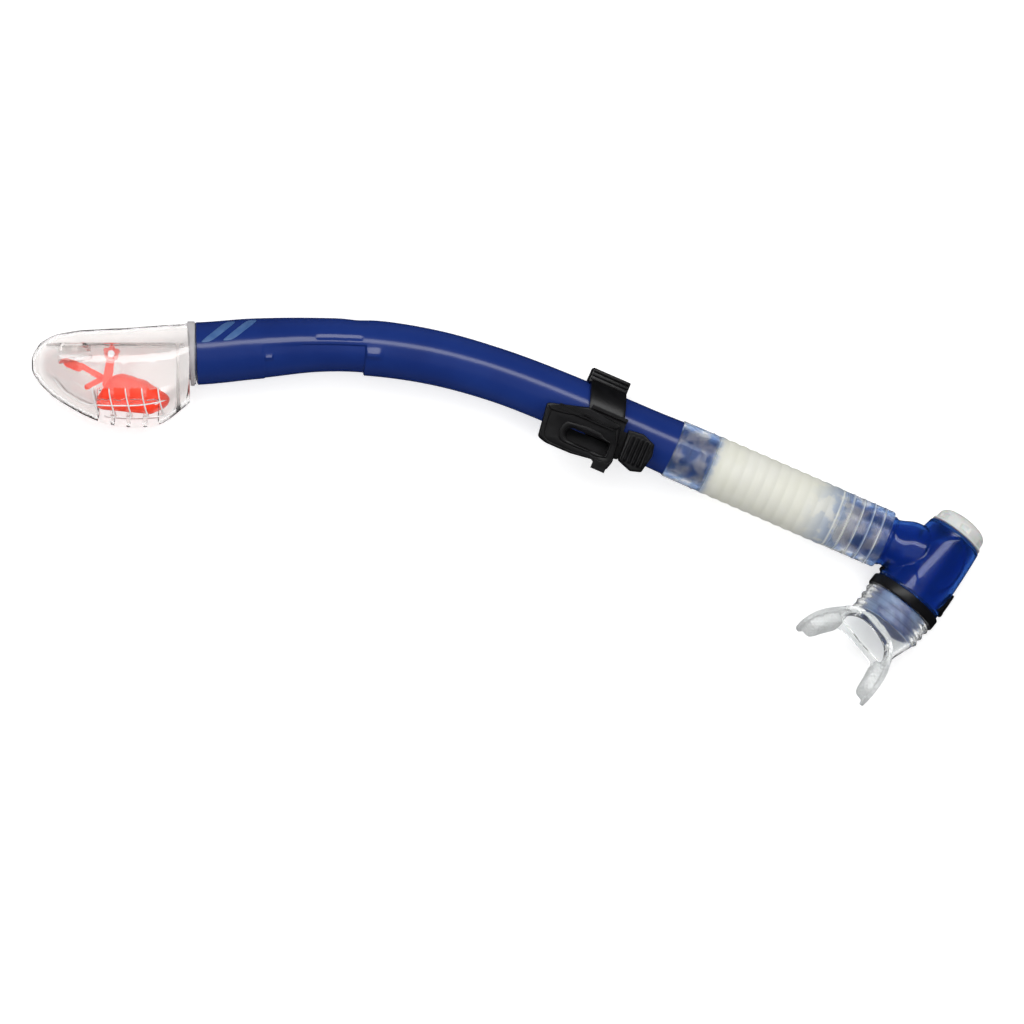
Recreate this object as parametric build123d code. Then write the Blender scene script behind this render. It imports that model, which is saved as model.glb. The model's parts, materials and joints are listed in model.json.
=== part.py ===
from build123d import *
import os
from math import cos, sin, radians

os.makedirs("parts", exist_ok=True)

# ---------------------------------------------------------------- driving dimensions, mm
# The snorkel lies on its side: +X runs from the head to the purge cap, +Y is the side of
# the tube's outer bend, +Z is up from the surface it lies on.
LIE = 19.6                 # tube's centre plane above that surface
SHIFT_X = 0.29             # puts the box's middle on the origin
SHIFT_Y = 0.58

# Barrel: centre line stations from the head down to the straight part: x, y, radius
BARREL_TOP = (-154.0, 79.0)
BARREL_STATIONS = [
    (-154.0, 79.0, 15.5),
    (-128.5, 81.2, 15.1),
    (-98.5, 82.7, 13.9),
    (-68.5, 81.6, 13.9),
    (-38.5, 77.0, 13.7),
    (-8.5, 68.7, 13.3),
    (29.5, 54.05, 13.5),
]
BARREL_WALL = 2.0
BARREL_R = 13.7            # straight lower part
BARREL_STRAIGHT = 55.0     # its length
BARREL_END = (80.0, 32.25)
INLAY_PROUD = 0.4
TOP_SPIGOT_R = 13.0
TOP_SPIGOT_BORE_R = 11.4
TOP_SPIGOT_LEN = 8.5

# Hose: flexible corrugated tube between the barrel and the chamber
HOSE_SLOPE = 23.34         # degrees below +X
HOSE_LEN = 115.0
HOSE_R = 15.2
HOSE_ROOT_R = 14.2
HOSE_BORE_R = 12.1
HOSE_CUFF_R = 15.0
CUFF_TOP = 19.0            # length of the plain cuff on the barrel's spigot
CUFF_LOW = 28.0            # and of the one on the chamber's neck
RING_COUNT = 12
SPIGOT_R = 12.0
SPIGOT_BORE_R = 10.4
SPIGOT_LEN = 20.0

# Head: outer form, sections x, top y, bottom y, half depth in z
HEAD_SECTIONS = [
    (-237.6, 76.6, 70.6, 3.4),
    (-235.2, 81.6, 66.0, 8.2),
    (-229.5, 86.3, 59.5, 12.8),
    (-219.0, 89.4, 52.2, 16.8),
    (-204.0, 90.8, 45.0, 19.2),
    (-188.0, 91.7, 42.3, 19.5),
    (-173.0, 92.8, 44.6, 19.0),
    (-160.0, 93.8, 54.5, 17.2),
]
HEAD_WALL = 1.8
HEAD_GAP = 0.2             # frame to shell
SLOT_COUNT = 5
SLOT_PITCH = 8.0
SLOT_W = 6.0
SLOT_FIRST_X = -213.0
DIVIDER_Y = 82.0
DIVIDER_T = 1.4
SEAT_X = -216.5
SEAT_R = 8.0
SEAT_BORE_R = 6.3
SEAT_DROP = 2.4
BULKHEAD_X = -166.5
PIVOT = (-198.5, 78.3)
PIN_R = 1.0
PIN_RUN = 0.05             # running clearance in the lever
FLAP_OPEN = 8.5            # degrees the flap hangs open
FLAP_R = 8.4
FLAP_T = 2.0
FLOAT_OUTLINE = [
    (-206.2, 56.2),
    (-199.0, 67.5),
    (-193.0, 69.0),
    (-181.5, 65.5),
    (-169.5, 57.5),
    (-170.2, 53.0),
    (-179.0, 48.8),
    (-205.4, 51.4),
]
FLOAT_HALF_Z = 8.2

# Keeper: its own axes run along the barrel, across it and up
KEEPER_BACK = 33.8         # band's middle above the barrel's end
BAND_GAP = 0.33
BAND_T = 2.8
BAND_X0 = -13.5            # band's ends along the barrel
BAND_X1 = 8.0
HOOK_X0 = -19.0            # hook that closes the band
HOOK_X1 = 2.0
HOOK_Y = 20.9
FOOT_W = 9.0
BASE_Z0 = 14.2
BASE_Z1 = 19.2
BUCKLE_Z0 = 19.5
BUCKLE_Z1 = 24.3
RAIL_LOW = -9.4            # rails that the buckle slides on
RAIL_HIGH = 1.4
RAIL_W = 1.6
RAIL_H = 1.6
STRAP_X0 = -19.5           # mask strap's slot
STRAP_X1 = 2.4
STRAP_Y = -15.0
SLOT_HALF = 3.5
STRAP_BAR = (14.9, 16.7)    # bar behind the slot that the strap turns round
TONGUE_END = 22.0          # base's arm under the release button
TONGUE_Z1 = 17.4
PRESS_AT = (15.5, -9.8)    # button's guide post
POST_R = 1.2

# Chamber: frame on its own axis, +z towards the purge cap
CHAMBER_C = (209.4, -27.1, -1.5)
CHAMBER_DIR = 50.5         # degrees above +X
CHAMBER_TILT = 6.0         # mouth end lifts by this
CHAMBER_WALL = 1.9
CHAMBER_CAP_R = 14.75
CHAMBER_MOUTH_R = 18.2
CHAMBER_CAP_Z = 20.4
CHAMBER_MOUTH_Z = -20.4
CAP_R = 13.7
CAP_TOP_Z = 29.6
PURGE_Z = 16.5
COLLAR_R = 19.7
COLLAR_IN_R = 18.4
TAB_LEN = 10.0             # latch tab away from the neck
NECK_TAB_LEN = 3.6         # and the one beside it

# Mouthpiece
MOUTH_F = (177.7, -60.6, 6.0)   # middle of the lip flange
MOUTH_DIR = 214.0
MOUTH_TILT = 28.0          # opening lifts by this
MOUTH_ROLL = 12.0
WING_DEEP = 28.0
WING_HALF = 26.0
LIP_T = 2.0
LIP_HALF_H = 15.5
TIP_HALF_H = 7.0
OVAL_W = 14.5
OVAL_H = 8.5
BOOT_R = 18.0
BOOT_BORE_R = 15.75
SWIVEL_R = 15.6
SWIVEL_BORE_R = 13.8


# ---------------------------------------------------------------- frames
def along(slope_deg):
    return (cos(radians(slope_deg)), -sin(radians(slope_deg)), 0)


E1 = along(HOSE_SLOPE)
HOSE_PLANE = Plane(origin=(BARREL_END[0], BARREL_END[1], 0), x_dir=(0, 0, 1), z_dir=E1)
KEEPER_PLANE = Plane(
    origin=(BARREL_END[0] - KEEPER_BACK * E1[0], BARREL_END[1] - KEEPER_BACK * E1[1], 0),
    x_dir=E1,
    z_dir=(0, 0, 1),
)


def chamber_axis():
    flat = cos(radians(CHAMBER_TILT))
    across = radians(CHAMBER_DIR)
    return (flat * cos(across), flat * sin(across), -sin(radians(CHAMBER_TILT)))


CHAMBER_PLANE = Plane(
    origin=CHAMBER_C,
    x_dir=(sin(radians(CHAMBER_DIR)), -cos(radians(CHAMBER_DIR)), 0),
    z_dir=chamber_axis(),
)


def mouth_plane():
    turn, tilt, roll = radians(MOUTH_DIR), radians(MOUTH_TILT), radians(MOUTH_ROLL)
    out = Vector(cos(turn) * cos(tilt), sin(turn) * cos(tilt), sin(tilt))
    side = Vector(sin(turn), -cos(turn), 0)
    up = side.cross(out)
    if up.Z < 0:
        up = -up
    wide = side * cos(roll) + up * sin(roll)
    return Plane(origin=MOUTH_F, x_dir=wide, z_dir=out)


MOUTH_PLANE = mouth_plane()
LOW = (Align.CENTER, Align.CENTER, Align.MIN)


# ---------------------------------------------------------------- small makers
def rod(r, z0, z1):
    return Pos(0, 0, z0) * Cylinder(r, z1 - z0, align=LOW)


def tube(r_out, r_in, z0, z1):
    return rod(r_out, z0, z1) - rod(r_in, z0 - 1, z1 + 1)


def cone(r0, r1, z0, z1):
    return Pos(0, 0, z0) * Cone(r0, r1, z1 - z0, align=LOW)


def block(x0, x1, y0, y1, z0, z1):
    middle = Pos((x0 + x1) / 2, (y0 + y1) / 2, (z0 + z1) / 2)
    return middle * Box(x1 - x0, y1 - y0, z1 - z0)


def bar(p, q, width, half_z):
    """Flat bar from p to q in the XY plane."""
    run = Vector(q[0] - p[0], q[1] - p[1], 0)
    plane = Plane(origin=((p[0] + q[0]) / 2, (p[1] + q[1]) / 2, 0), x_dir=run, z_dir=(0, 0, 1))
    return plane * Box(run.length + width, width, 2 * half_z)


def slab(points, z0, z1):
    """Polygon in XY drawn up from z0 to z1."""
    face = make_face(Polyline(*points, close=True))
    return Pos(0, 0, z0) * extrude(face, amount=z1 - z0)


def rounded(shape, r):
    """Round every edge by r."""
    return fillet(shape.edges(), r)


# ---------------------------------------------------------------- barrel
def station_directions():
    """Tangent at each barrel station, from its neighbours."""
    last = len(BARREL_STATIONS) - 1
    found = []
    for i in range(last + 1):
        a = BARREL_STATIONS[max(i - 1, 0)]
        b = BARREL_STATIONS[min(i + 1, last)]
        found.append((b[0] - a[0], b[1] - a[1], 0))
    found[0] = (1, 0, 0)
    found[last] = E1
    return found


def barrel_form(grow):
    """The bent upper length of the barrel, its radius grown by grow."""
    rings = []
    for (x, y, r), way in zip(BARREL_STATIONS, station_directions()):
        plane = Plane(origin=(x, y, 0), x_dir=(0, 0, 1), z_dir=way)
        rings.append(plane * Circle(r + grow))
    return loft(rings)


def head_axis(x):
    """Plane across the head's fitting at x, its normal along +X."""
    return Plane(origin=(x, BARREL_TOP[1], 0), x_dir=(0, 1, 0), z_dir=(1, 0, 0))


def inlay_prism(x_low):
    """Slanted prism through the barrel's upper side, with one inlay's outline."""
    points = [
        (x_low, 84.5),
        (x_low + 5.5, 84.5),
        (x_low + 15.0, 93.2),
        (x_low + 9.5, 93.2),
    ]
    return slab(points, 0, 20)


INLAY_X = (-152.4, -141.6)


def make_barrel():
    body = barrel_form(0) + HOSE_PLANE * rod(BARREL_R, -BARREL_STRAIGHT - 1, 0)
    body += HOSE_PLANE * rod(SPIGOT_R, -1, SPIGOT_LEN)
    body += head_axis(BARREL_TOP[0] - TOP_SPIGOT_LEN) * rod(TOP_SPIGOT_R, 0, TOP_SPIGOT_LEN + 1)
    hollow = barrel_form(-BARREL_WALL)
    hollow += HOSE_PLANE * rod(BARREL_R - BARREL_WALL, -BARREL_STRAIGHT - 1, -4)
    hollow += HOSE_PLANE * rod(SPIGOT_BORE_R, -5, SPIGOT_LEN + 1)
    top = head_axis(BARREL_TOP[0] - TOP_SPIGOT_LEN - 1)
    hollow += top * rod(TOP_SPIGOT_BORE_R, 0, TOP_SPIGOT_LEN + 3)
    body -= hollow
    body += head_axis(BARREL_TOP[0]) * tube(14.6, TOP_SPIGOT_BORE_R, 0, 2.4)
    return body


def make_inlay(x):
    skin = barrel_form(INLAY_PROUD) - barrel_form(0.03)
    return skin & inlay_prism(x)


# ---------------------------------------------------------------- head
def head_form(inset, last_x=None):
    """The head's outer form shrunk by inset all round."""
    rings = []
    for i, (x, top, low, half) in enumerate(HEAD_SECTIONS):
        if i == 0:
            x += inset
        if i == len(HEAD_SECTIONS) - 1 and last_x is not None:
            x = last_x
        plane = Plane(origin=(x, (top + low) / 2, 0), x_dir=(0, 1, 0), z_dir=(1, 0, 0))
        rings.append(plane * Ellipse((top - low) / 2 - inset, half - inset))
    return loft(rings)


def cage_slots():
    """Windows through the belly: rows of them beside a keel rib and above two side ribs."""
    slots = None
    for i in range(SLOT_COUNT):
        x = SLOT_FIRST_X + i * SLOT_PITCH
        for side in (-1, 1):
            z = sorted((side * 1.2, side * 26))
            low = block(x, x + SLOT_W, 38, 53.5, z[0], z[1])
            z = sorted((side * 8, side * 26))
            high = block(x, x + SLOT_W, 55.6, 62, z[0], z[1])
            slots = low + high if slots is None else slots + low + high
    return slots


def make_head_shell():
    shell = head_form(0) - head_form(HEAD_WALL, last_x=-161.8)
    shell -= head_axis(-165) * rod(TOP_SPIGOT_R + 0.1, 0, 10)
    return shell - cage_slots()


def make_valve_frame():
    room = head_form(HEAD_WALL + HEAD_GAP, last_x=-162.0)
    top = DIVIDER_Y + DIVIDER_T
    plate = room & block(-230, -163, DIVIDER_Y, top, -20, 20)
    wall = room & block(BULKHEAD_X, BULKHEAD_X + 1.5, 38, top, -20, 20)
    seat_plane = Plane(origin=(SEAT_X, DIVIDER_Y - SEAT_DROP, 0), x_dir=(1, 0, 0), z_dir=(0, 1, 0))
    frame = plate + wall + seat_plane * rod(SEAT_R, 0, SEAT_DROP + 0.5)
    frame -= seat_plane * rod(SEAT_BORE_R, -1, SEAT_DROP + DIVIDER_T + 1)
    for z in (-7.6, 6.0):
        frame += block(PIVOT[0] - 4, PIVOT[0] + 4, PIVOT[1] - 3.6, DIVIDER_Y + 0.5, z, z + 1.6)
    return frame - Pos(*PIVOT, 0) * rod(PIN_R + 0.02, -9, 9)


def make_pin():
    return Pos(*PIVOT, 0) * (rod(PIN_R, -8.2, 8.2) + rod(1.7, 7.7, 8.9))


def about_pivot(shape, turn):
    return Pos(*PIVOT, 0) * Rot(0, 0, turn) * Pos(-PIVOT[0], -PIVOT[1], 0) * shape


def make_flap():
    plane = Plane(
        origin=(SEAT_X, DIVIDER_Y - SEAT_DROP - 0.2 - FLAP_T, 0), x_dir=(1, 0, 0), z_dir=(0, 1, 0)
    )
    return about_pivot(plane * rod(FLAP_R, 0, FLAP_T), FLAP_OPEN)


def make_lever():
    low = DIVIDER_Y - SEAT_DROP - 0.2 - FLAP_T
    holder = Plane(origin=(SEAT_X, low - 1.4, 0), x_dir=(1, 0, 0), z_dir=(0, 1, 0)) * rod(6.5, 0, 1.4)
    arm = holder + block(SEAT_X, PIVOT[0], low - 1.6, low - 0.1, -2.2, 2.2)
    lever = about_pivot(arm, FLAP_OPEN) + Pos(*PIVOT, 0) * rod(3.0, -5.6, 5.6)
    lever += bar(PIVOT, (-200.4, 64.5), 3.2, 2.6)
    lever += bar((-212.5, 73.2), (-201.5, 65.5), 2.4, 1.8)
    lever += bar((-210.0, 62.4), (-201.5, 66.4), 2.4, 1.8)
    lever -= make_float()
    return lever - Pos(*PIVOT, 0) * rod(PIN_R + PIN_RUN, -9, 9)


def make_float():
    return rounded(slab(FLOAT_OUTLINE, -FLOAT_HALF_Z, FLOAT_HALF_Z), 1.8)


def make_head_collar():
    ring = head_axis(-160.0) * cone(16.6, 15.9, 0, 5.4)
    return ring - head_axis(-165) * rod(TOP_SPIGOT_R + 0.1, 0, 20)


def make_head_gasket():
    return head_axis(-154.6) * tube(15.4, TOP_SPIGOT_R + 0.05, 0, 0.6)


# ---------------------------------------------------------------- hose
def hose_profile():
    """Half section of the hose: plain cuffs, then evenly spaced rings between them."""
    points = [(HOSE_BORE_R, 0), (HOSE_CUFF_R, 0), (HOSE_CUFF_R, CUFF_TOP)]
    pitch = (HOSE_LEN - CUFF_TOP - CUFF_LOW) / RING_COUNT
    for i in range(RING_COUNT):
        z = CUFF_TOP + i * pitch
        points += [(HOSE_ROOT_R, z + 0.2 * pitch), (HOSE_R, z + 0.45 * pitch)]
        points += [(HOSE_R, z + 0.75 * pitch), (HOSE_ROOT_R, z + pitch)]
    points += [(HOSE_CUFF_R, HOSE_LEN - CUFF_LOW + 1), (HOSE_CUFF_R, HOSE_LEN)]
    points += [(HOSE_BORE_R, HOSE_LEN)]
    return points


def make_hose():
    outline = [(r, 0, z) for r, z in hose_profile()]
    face = make_face(Polyline(*outline, close=True))
    return HOSE_PLANE * revolve(face, Axis.Z)


# ---------------------------------------------------------------- keeper
def grip_bore(r):
    """Rod on the barrel's axis, in the keeper's own axes."""
    return Rot(0, 90, 0) * rod(r, -45, 40)


def make_band():
    inner = BARREL_R + BAND_GAP
    outer = inner + BAND_T
    band = Rot(0, 90, 0) * rod(outer, BAND_X0, BAND_X1)
    band += block(BAND_X0, BAND_X1, -FOOT_W / 2, FOOT_W / 2, -LIE, -inner)
    band += block(HOOK_X0, HOOK_X1, inner - 3, HOOK_Y, -6.5, 7.5)
    band -= block(HOOK_X0 + 2.2, HOOK_X1 + 1, outer + 0.5, HOOK_Y - 1.6, -4.6, 8.0)
    return KEEPER_PLANE * (band - grip_bore(inner))


def make_keeper_base():
    base = block(BAND_X0 + 1, 6.5, RAIL_LOW, RAIL_HIGH + RAIL_W, BASE_Z0, BASE_Z1)
    base += block(6.0, TONGUE_END, -16.5, -3.0, BASE_Z0, TONGUE_Z1)
    base -= grip_bore(BARREL_R + BAND_GAP)
    base -= Rot(0, 90, 0) * rod(BARREL_R + BAND_GAP + BAND_T, BAND_X0, BAND_X1)
    for y in (RAIL_LOW, RAIL_HIGH):
        base += block(BAND_X0 + 1, 6.5, y, y + RAIL_W, BASE_Z1 - 0.5, BUCKLE_Z0 + RAIL_H)
    base -= Pos(*PRESS_AT, 0) * rod(POST_R + 0.08, 0, 40)
    return KEEPER_PLANE * base


def make_buckle():
    points = [
        (-34.0, -5.0),
        (-31.5, -22.3),
        (-13.6, -23.2),
        (0.0, -21.6),
        (5.6, -21.8),
        (6.9, -15.7),
        (3.8, -1.0),
        (-14.0, 0.9),
    ]
    plate = slab(points, BUCKLE_Z0, BUCKLE_Z1)
    plate -= block(STRAP_X0, STRAP_X1, STRAP_Y - SLOT_HALF, STRAP_Y + SLOT_HALF, 0, 40)
    plate -= block(-28.5, -23.0, -18.5, -8.5, 0, 40)
    plate += block(STRAP_X0 - 2.5, STRAP_X1 + 2.2, STRAP_Y - 3.2, STRAP_Y + 3.0, *STRAP_BAR)
    for x in (STRAP_X0 - 2.5, STRAP_X1 + 0.2):
        plate += block(x, x + 2.0, STRAP_Y - 3.2, STRAP_Y + 3.0, STRAP_BAR[1] - 0.5, BUCKLE_Z0 + 0.5)
    groove = BUCKLE_Z0 + RAIL_H + 0.3
    plate -= block(-40, 10, RAIL_LOW - 0.4, RAIL_LOW + RAIL_W + 0.4, 0, groove)
    return KEEPER_PLANE * plate


def make_release():
    grip = slab([(8.2, -1.2), (24.0, -3.2), (20.5, -19.6), (9.2, -16.8)], BUCKLE_Z0, BUCKLE_Z1 + 0.6)
    for i in range(5):
        x = 11.0 + i * 2.4
        grip += block(x, x + 1.2, -16.0, -3.6, BUCKLE_Z1, BUCKLE_Z1 + 1.3)
    grip += Pos(*PRESS_AT, 0) * rod(POST_R, TONGUE_Z1 - 1.6, BUCKLE_Z0 + 1)
    return KEEPER_PLANE * grip


def make_spring():
    return KEEPER_PLANE * Pos(*PRESS_AT, 0) * tube(2.6, 1.7, TONGUE_Z1, BUCKLE_Z0)


# ---------------------------------------------------------------- chamber
def neck_line(start, stop, r):
    """Rod of radius r on the hose's axis between two distances from its upper end."""
    return HOSE_PLANE * rod(r, start, stop)


def make_chamber():
    outer = cone(CHAMBER_MOUTH_R, CHAMBER_CAP_R, CHAMBER_MOUTH_Z, CHAMBER_CAP_Z)
    low, high = CHAMBER_MOUTH_Z - 1, CHAMBER_CAP_Z + 1
    taper = (CHAMBER_CAP_R - CHAMBER_MOUTH_R) / (CHAMBER_CAP_Z - CHAMBER_MOUTH_Z)
    wall = CHAMBER_WALL
    inner = cone(CHAMBER_MOUTH_R - taper - wall, CHAMBER_CAP_R + taper - wall, low, high)
    body = CHAMBER_PLANE * outer + neck_line(HOSE_LEN - 26, HOSE_LEN + 24, SPIGOT_R)
    body -= CHAMBER_PLANE * inner
    body -= neck_line(HOSE_LEN - 27, HOSE_LEN + 24, SPIGOT_BORE_R)
    return body


def make_purge_seat():
    seat = tube(13.0, 11.0, PURGE_Z, PURGE_Z + 1.6) + tube(3.0, 0.9, PURGE_Z, PURGE_Z + 1.6)
    for i in range(5):
        spoke = Rot(0, 0, i * 72) * block(2.6, 11.4, -0.8, 0.8, PURGE_Z, PURGE_Z + 1.6)
        seat += spoke
    return CHAMBER_PLANE * seat


def make_diaphragm():
    return CHAMBER_PLANE * (rod(11.8, PURGE_Z + 1.8, PURGE_Z + 2.8) + rod(2.0, PURGE_Z + 2.8, PURGE_Z + 3.6))


def make_cap():
    skirt = tube(12.7, 12.1, PURGE_Z + 1.8, CHAMBER_CAP_Z + 0.6)
    flange = tube(14.4, 12.1, CHAMBER_CAP_Z + 0.2, CHAMBER_CAP_Z + 1.4)
    dome = rod(CAP_R, CHAMBER_CAP_Z + 1.4, CAP_TOP_Z)
    dome = fillet(dome.edges().sort_by(Axis.Z)[-1], 4.2)
    dome -= rod(CAP_R - 1.5, CHAMBER_CAP_Z, CAP_TOP_Z - 4.6)
    dome -= rod(CAP_R - 4.6, CHAMBER_CAP_Z, CAP_TOP_Z - 1.6)
    cap = skirt + flange + dome
    for i in range(6):
        cap -= Rot(0, 0, 30 + i * 60) * block(8, 20, -2.6, 2.6, CHAMBER_CAP_Z + 1.6, CHAMBER_CAP_Z + 4.2)
    return CHAMBER_PLANE * cap


def make_collar():
    ring = tube(COLLAR_R, COLLAR_IN_R, -25.0, -14.6)
    ring += tube(COLLAR_R, 16.0, -25.2, -23.4)
    wall_plane = Plane(origin=(15.5, 0, -15), x_dir=(0, 1, 0), z_dir=(1, 0, 0))
    for turn, reach in ((-12, TAB_LEN), (168, NECK_TAB_LEN)):
        outline = make_face(Polyline((-7, 0), (7, 0), (0, reach), close=True))
        ring += Rot(0, 0, turn) * wall_plane * extrude(outline, amount=3.8)
    ring -= cone(CHAMBER_MOUTH_R + 0.25, CHAMBER_CAP_R + 0.25, CHAMBER_MOUTH_Z, CHAMBER_CAP_Z)
    return CHAMBER_PLANE * ring - neck_line(HOSE_LEN, HOSE_LEN + 24, SPIGOT_R + 0.3)


# ---------------------------------------------------------------- mouthpiece
def make_swivel():
    swivel = tube(18.1, SWIVEL_BORE_R, -22.9, -20.9) + tube(SWIVEL_R, SWIVEL_BORE_R, -38.0, -21)
    return CHAMBER_PLANE * swivel


def boot_circle(z, r):
    centre = CHAMBER_PLANE.from_local_coords((0, 0, z))
    plane = Plane(origin=centre, x_dir=MOUTH_PLANE.x_dir, z_dir=-CHAMBER_PLANE.z_dir)
    return plane * Circle(r)


def wing_curve(w):
    """How far the lip sweeps towards the teeth at distance w from its middle."""
    return WING_DEEP * (abs(w) / WING_HALF) ** 4


def make_lip():
    steps = [0, 7, 13, 18, 21.5, 24, WING_HALF]
    ws = [-w for w in steps[:0:-1]] + steps
    front = [(w, 0, wing_curve(w)) for w in ws]
    shrink = (WING_HALF - LIP_T) / WING_HALF
    back = [(w * shrink, 0, LIP_T + wing_curve(w) * 0.97) for w in ws]
    outline = [Spline(*front), Line(front[-1], back[-1]), Spline(*back), Line(back[0], front[0])]
    sweep_face = make_face(Wire(outline))
    lip = extrude(sweep_face, amount=LIP_HALF_H, dir=(0, 1, 0), both=True)
    side = [(0, -LIP_HALF_H, -1), (0, LIP_HALF_H, -1), (0, LIP_HALF_H, 4), (0, TIP_HALF_H, 40)]
    side += [(0, -TIP_HALF_H, 40), (0, -LIP_HALF_H, 4)]
    trim = extrude(make_face(Polyline(*side, close=True)), amount=60, dir=(1, 0, 0), both=True)
    lip = lip & trim
    for s in (-1, 1):
        x = sorted((s * 17.7, s * 23.4))
        lip += block(x[0], x[1], -5.5, 5.5, 15.0, 27.5)
    return lip


def make_mouthpiece():
    boot = CHAMBER_PLANE * rod(BOOT_R, -38.0, -25.6)
    for z in (-26.8, -31.0, -35.2):
        boot += CHAMBER_PLANE * rod(BOOT_R + 1.3 - 0.05 * (-26.8 - z), z - 0.2, z + 1.0)
    neck_end = MOUTH_PLANE * Pos(0, 0, LIP_T / 2) * Ellipse(OVAL_W + 2, OVAL_H + 2)
    boot += loft([boot_circle(-36.5, BOOT_R - 0.3), neck_end])
    boot += MOUTH_PLANE * make_lip()
    boot -= CHAMBER_PLANE * rod(BOOT_BORE_R, -38.1, -20)
    mouth = MOUTH_PLANE * Pos(0, 0, LIP_T + 1.5) * Ellipse(OVAL_W, OVAL_H)
    return boot - loft([boot_circle(-37.0, BOOT_BORE_R - 0.4), mouth])


# ---------------------------------------------------------------- write the nodes
def nodes():
    yield "head_shell", make_head_shell()
    yield "valve_frame", make_valve_frame()
    yield "float_pivot_pin", make_pin()
    yield "seal_flap", make_flap()
    yield "float_lever", make_lever()
    yield "float_body", make_float()
    yield "head_collar", make_head_collar()
    yield "head_gasket", make_head_gasket()
    yield "barrel_tube", make_barrel()
    yield "barrel_inlay_upper", make_inlay(INLAY_X[0])
    yield "barrel_inlay_lower", make_inlay(INLAY_X[1])
    yield "flex_hose", make_hose()
    yield "keeper_band", make_band()
    yield "keeper_base", make_keeper_base()
    yield "strap_buckle", make_buckle()
    yield "release_button", make_release()
    yield "release_spring", make_spring()
    yield "chamber_body", make_chamber()
    yield "purge_seat", make_purge_seat()
    yield "purge_diaphragm", make_diaphragm()
    yield "purge_cap", make_cap()
    yield "collar_ring", make_collar()
    yield "mouth_swivel", make_swivel()
    yield "mouthpiece", make_mouthpiece()


whole = None
for name, shape in nodes():
    placed = Pos(SHIFT_X, SHIFT_Y, LIE) * shape
    export_step(placed, f"parts/{name}.step")
    box = placed.bounding_box()
    whole = box if whole is None else whole.add(box)
    low = tuple(round(v, 2) for v in box.min)
    high = tuple(round(v, 2) for v in box.max)
    print(name, len(shape.solids()), round(shape.volume), low, high)
print("whole", whole.min, whole.max)
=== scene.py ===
# %% [markdown]
# # A dry-top snorkel, piece by piece
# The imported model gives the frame: what moves with what, and where. This notebook gives the looks.
# It begins by loading that frame, because every place below is read from its joints and boxes.

# %% Load the frame
import json
import math

import bmesh
import bpy
import numpy as np
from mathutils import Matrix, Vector


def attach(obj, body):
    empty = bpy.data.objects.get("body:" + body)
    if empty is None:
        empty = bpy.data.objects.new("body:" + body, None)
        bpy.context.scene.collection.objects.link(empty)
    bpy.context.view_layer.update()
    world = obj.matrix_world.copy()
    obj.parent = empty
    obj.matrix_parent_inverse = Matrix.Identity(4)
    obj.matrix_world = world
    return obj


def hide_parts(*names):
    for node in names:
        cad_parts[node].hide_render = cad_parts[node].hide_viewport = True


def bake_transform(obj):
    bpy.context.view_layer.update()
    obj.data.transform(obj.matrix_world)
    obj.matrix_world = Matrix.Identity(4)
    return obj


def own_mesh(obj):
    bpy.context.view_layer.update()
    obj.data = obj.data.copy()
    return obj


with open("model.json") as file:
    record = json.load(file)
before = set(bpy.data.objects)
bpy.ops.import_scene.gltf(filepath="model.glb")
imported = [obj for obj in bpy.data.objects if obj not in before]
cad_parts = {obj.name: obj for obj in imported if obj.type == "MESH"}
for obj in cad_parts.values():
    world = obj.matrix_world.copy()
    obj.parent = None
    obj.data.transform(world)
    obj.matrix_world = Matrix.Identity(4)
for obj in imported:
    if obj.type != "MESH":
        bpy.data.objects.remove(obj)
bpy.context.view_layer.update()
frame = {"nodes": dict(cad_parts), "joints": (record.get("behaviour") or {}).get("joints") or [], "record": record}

MM = 0.001
JOINT = {j["name"]: j for j in frame["joints"]}
MOUNT = {m["name"]: m for m in frame["record"]["mounts"]}


# %% [markdown]
# ## Places to work from
# Three straight lines carry most of the object: the tube's lower run, the chamber and the mouth.
# Each gets its own axes, so a shape is written in millimetres along and around its own line and
# then set into the model. The joints' axes and points give the lines.

# %% Own axes for each line
def unit(v):
    """v at length one."""
    v = np.asarray(v, float)
    return v / np.linalg.norm(v)


class Line:
    """Axes of a straight piece: z along it, x across, y the third, all through an origin."""

    def __init__(self, origin, z, x):
        self.o = np.asarray(origin, float)
        self.z = unit(z)
        self.x = unit(np.asarray(x, float) - np.dot(x, self.z) * self.z)
        self.y = np.cross(self.z, self.x)

    def put(self, local):
        """Points in millimetres on this line's axes, as metres in the model."""
        local = np.asarray(local, float) * MM
        return self.o + local[..., :1] * self.x + local[..., 1:2] * self.y + local[..., 2:] * self.z

    def take(self, world):
        """The way back: metres in the model as millimetres on this line's axes."""
        d = np.asarray(world, float) - self.o
        return np.stack([d @ self.x, d @ self.y, d @ self.z], -1) / MM


UP = np.array([0.0, 0.0, 1.0])
DOWN_TUBE = unit(JOINT["keeper_slide"]["axis"])
HOSE_HALF = 52.0           # millimetres from the barrel's end to where the hose bends
HOSE = Line(np.array(JOINT["hose_flex"]["pos_m"]) - HOSE_HALF * MM * DOWN_TUBE, DOWN_TUBE, UP)
LIE = HOSE.o[2]            # the tube's middle above the floor

CAP_WAY = unit(JOINT["purge_lift"]["axis"])
SWIVEL_Z = -22.0           # the mouthpiece turns there, below the chamber's middle
SWIVEL_AT = np.array(JOINT["mouthpiece_swivel"]["pos_m"])
CHAMBER = Line(SWIVEL_AT - SWIVEL_Z * MM * CAP_WAY, CAP_WAY, np.cross(CAP_WAY, UP))

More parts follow.
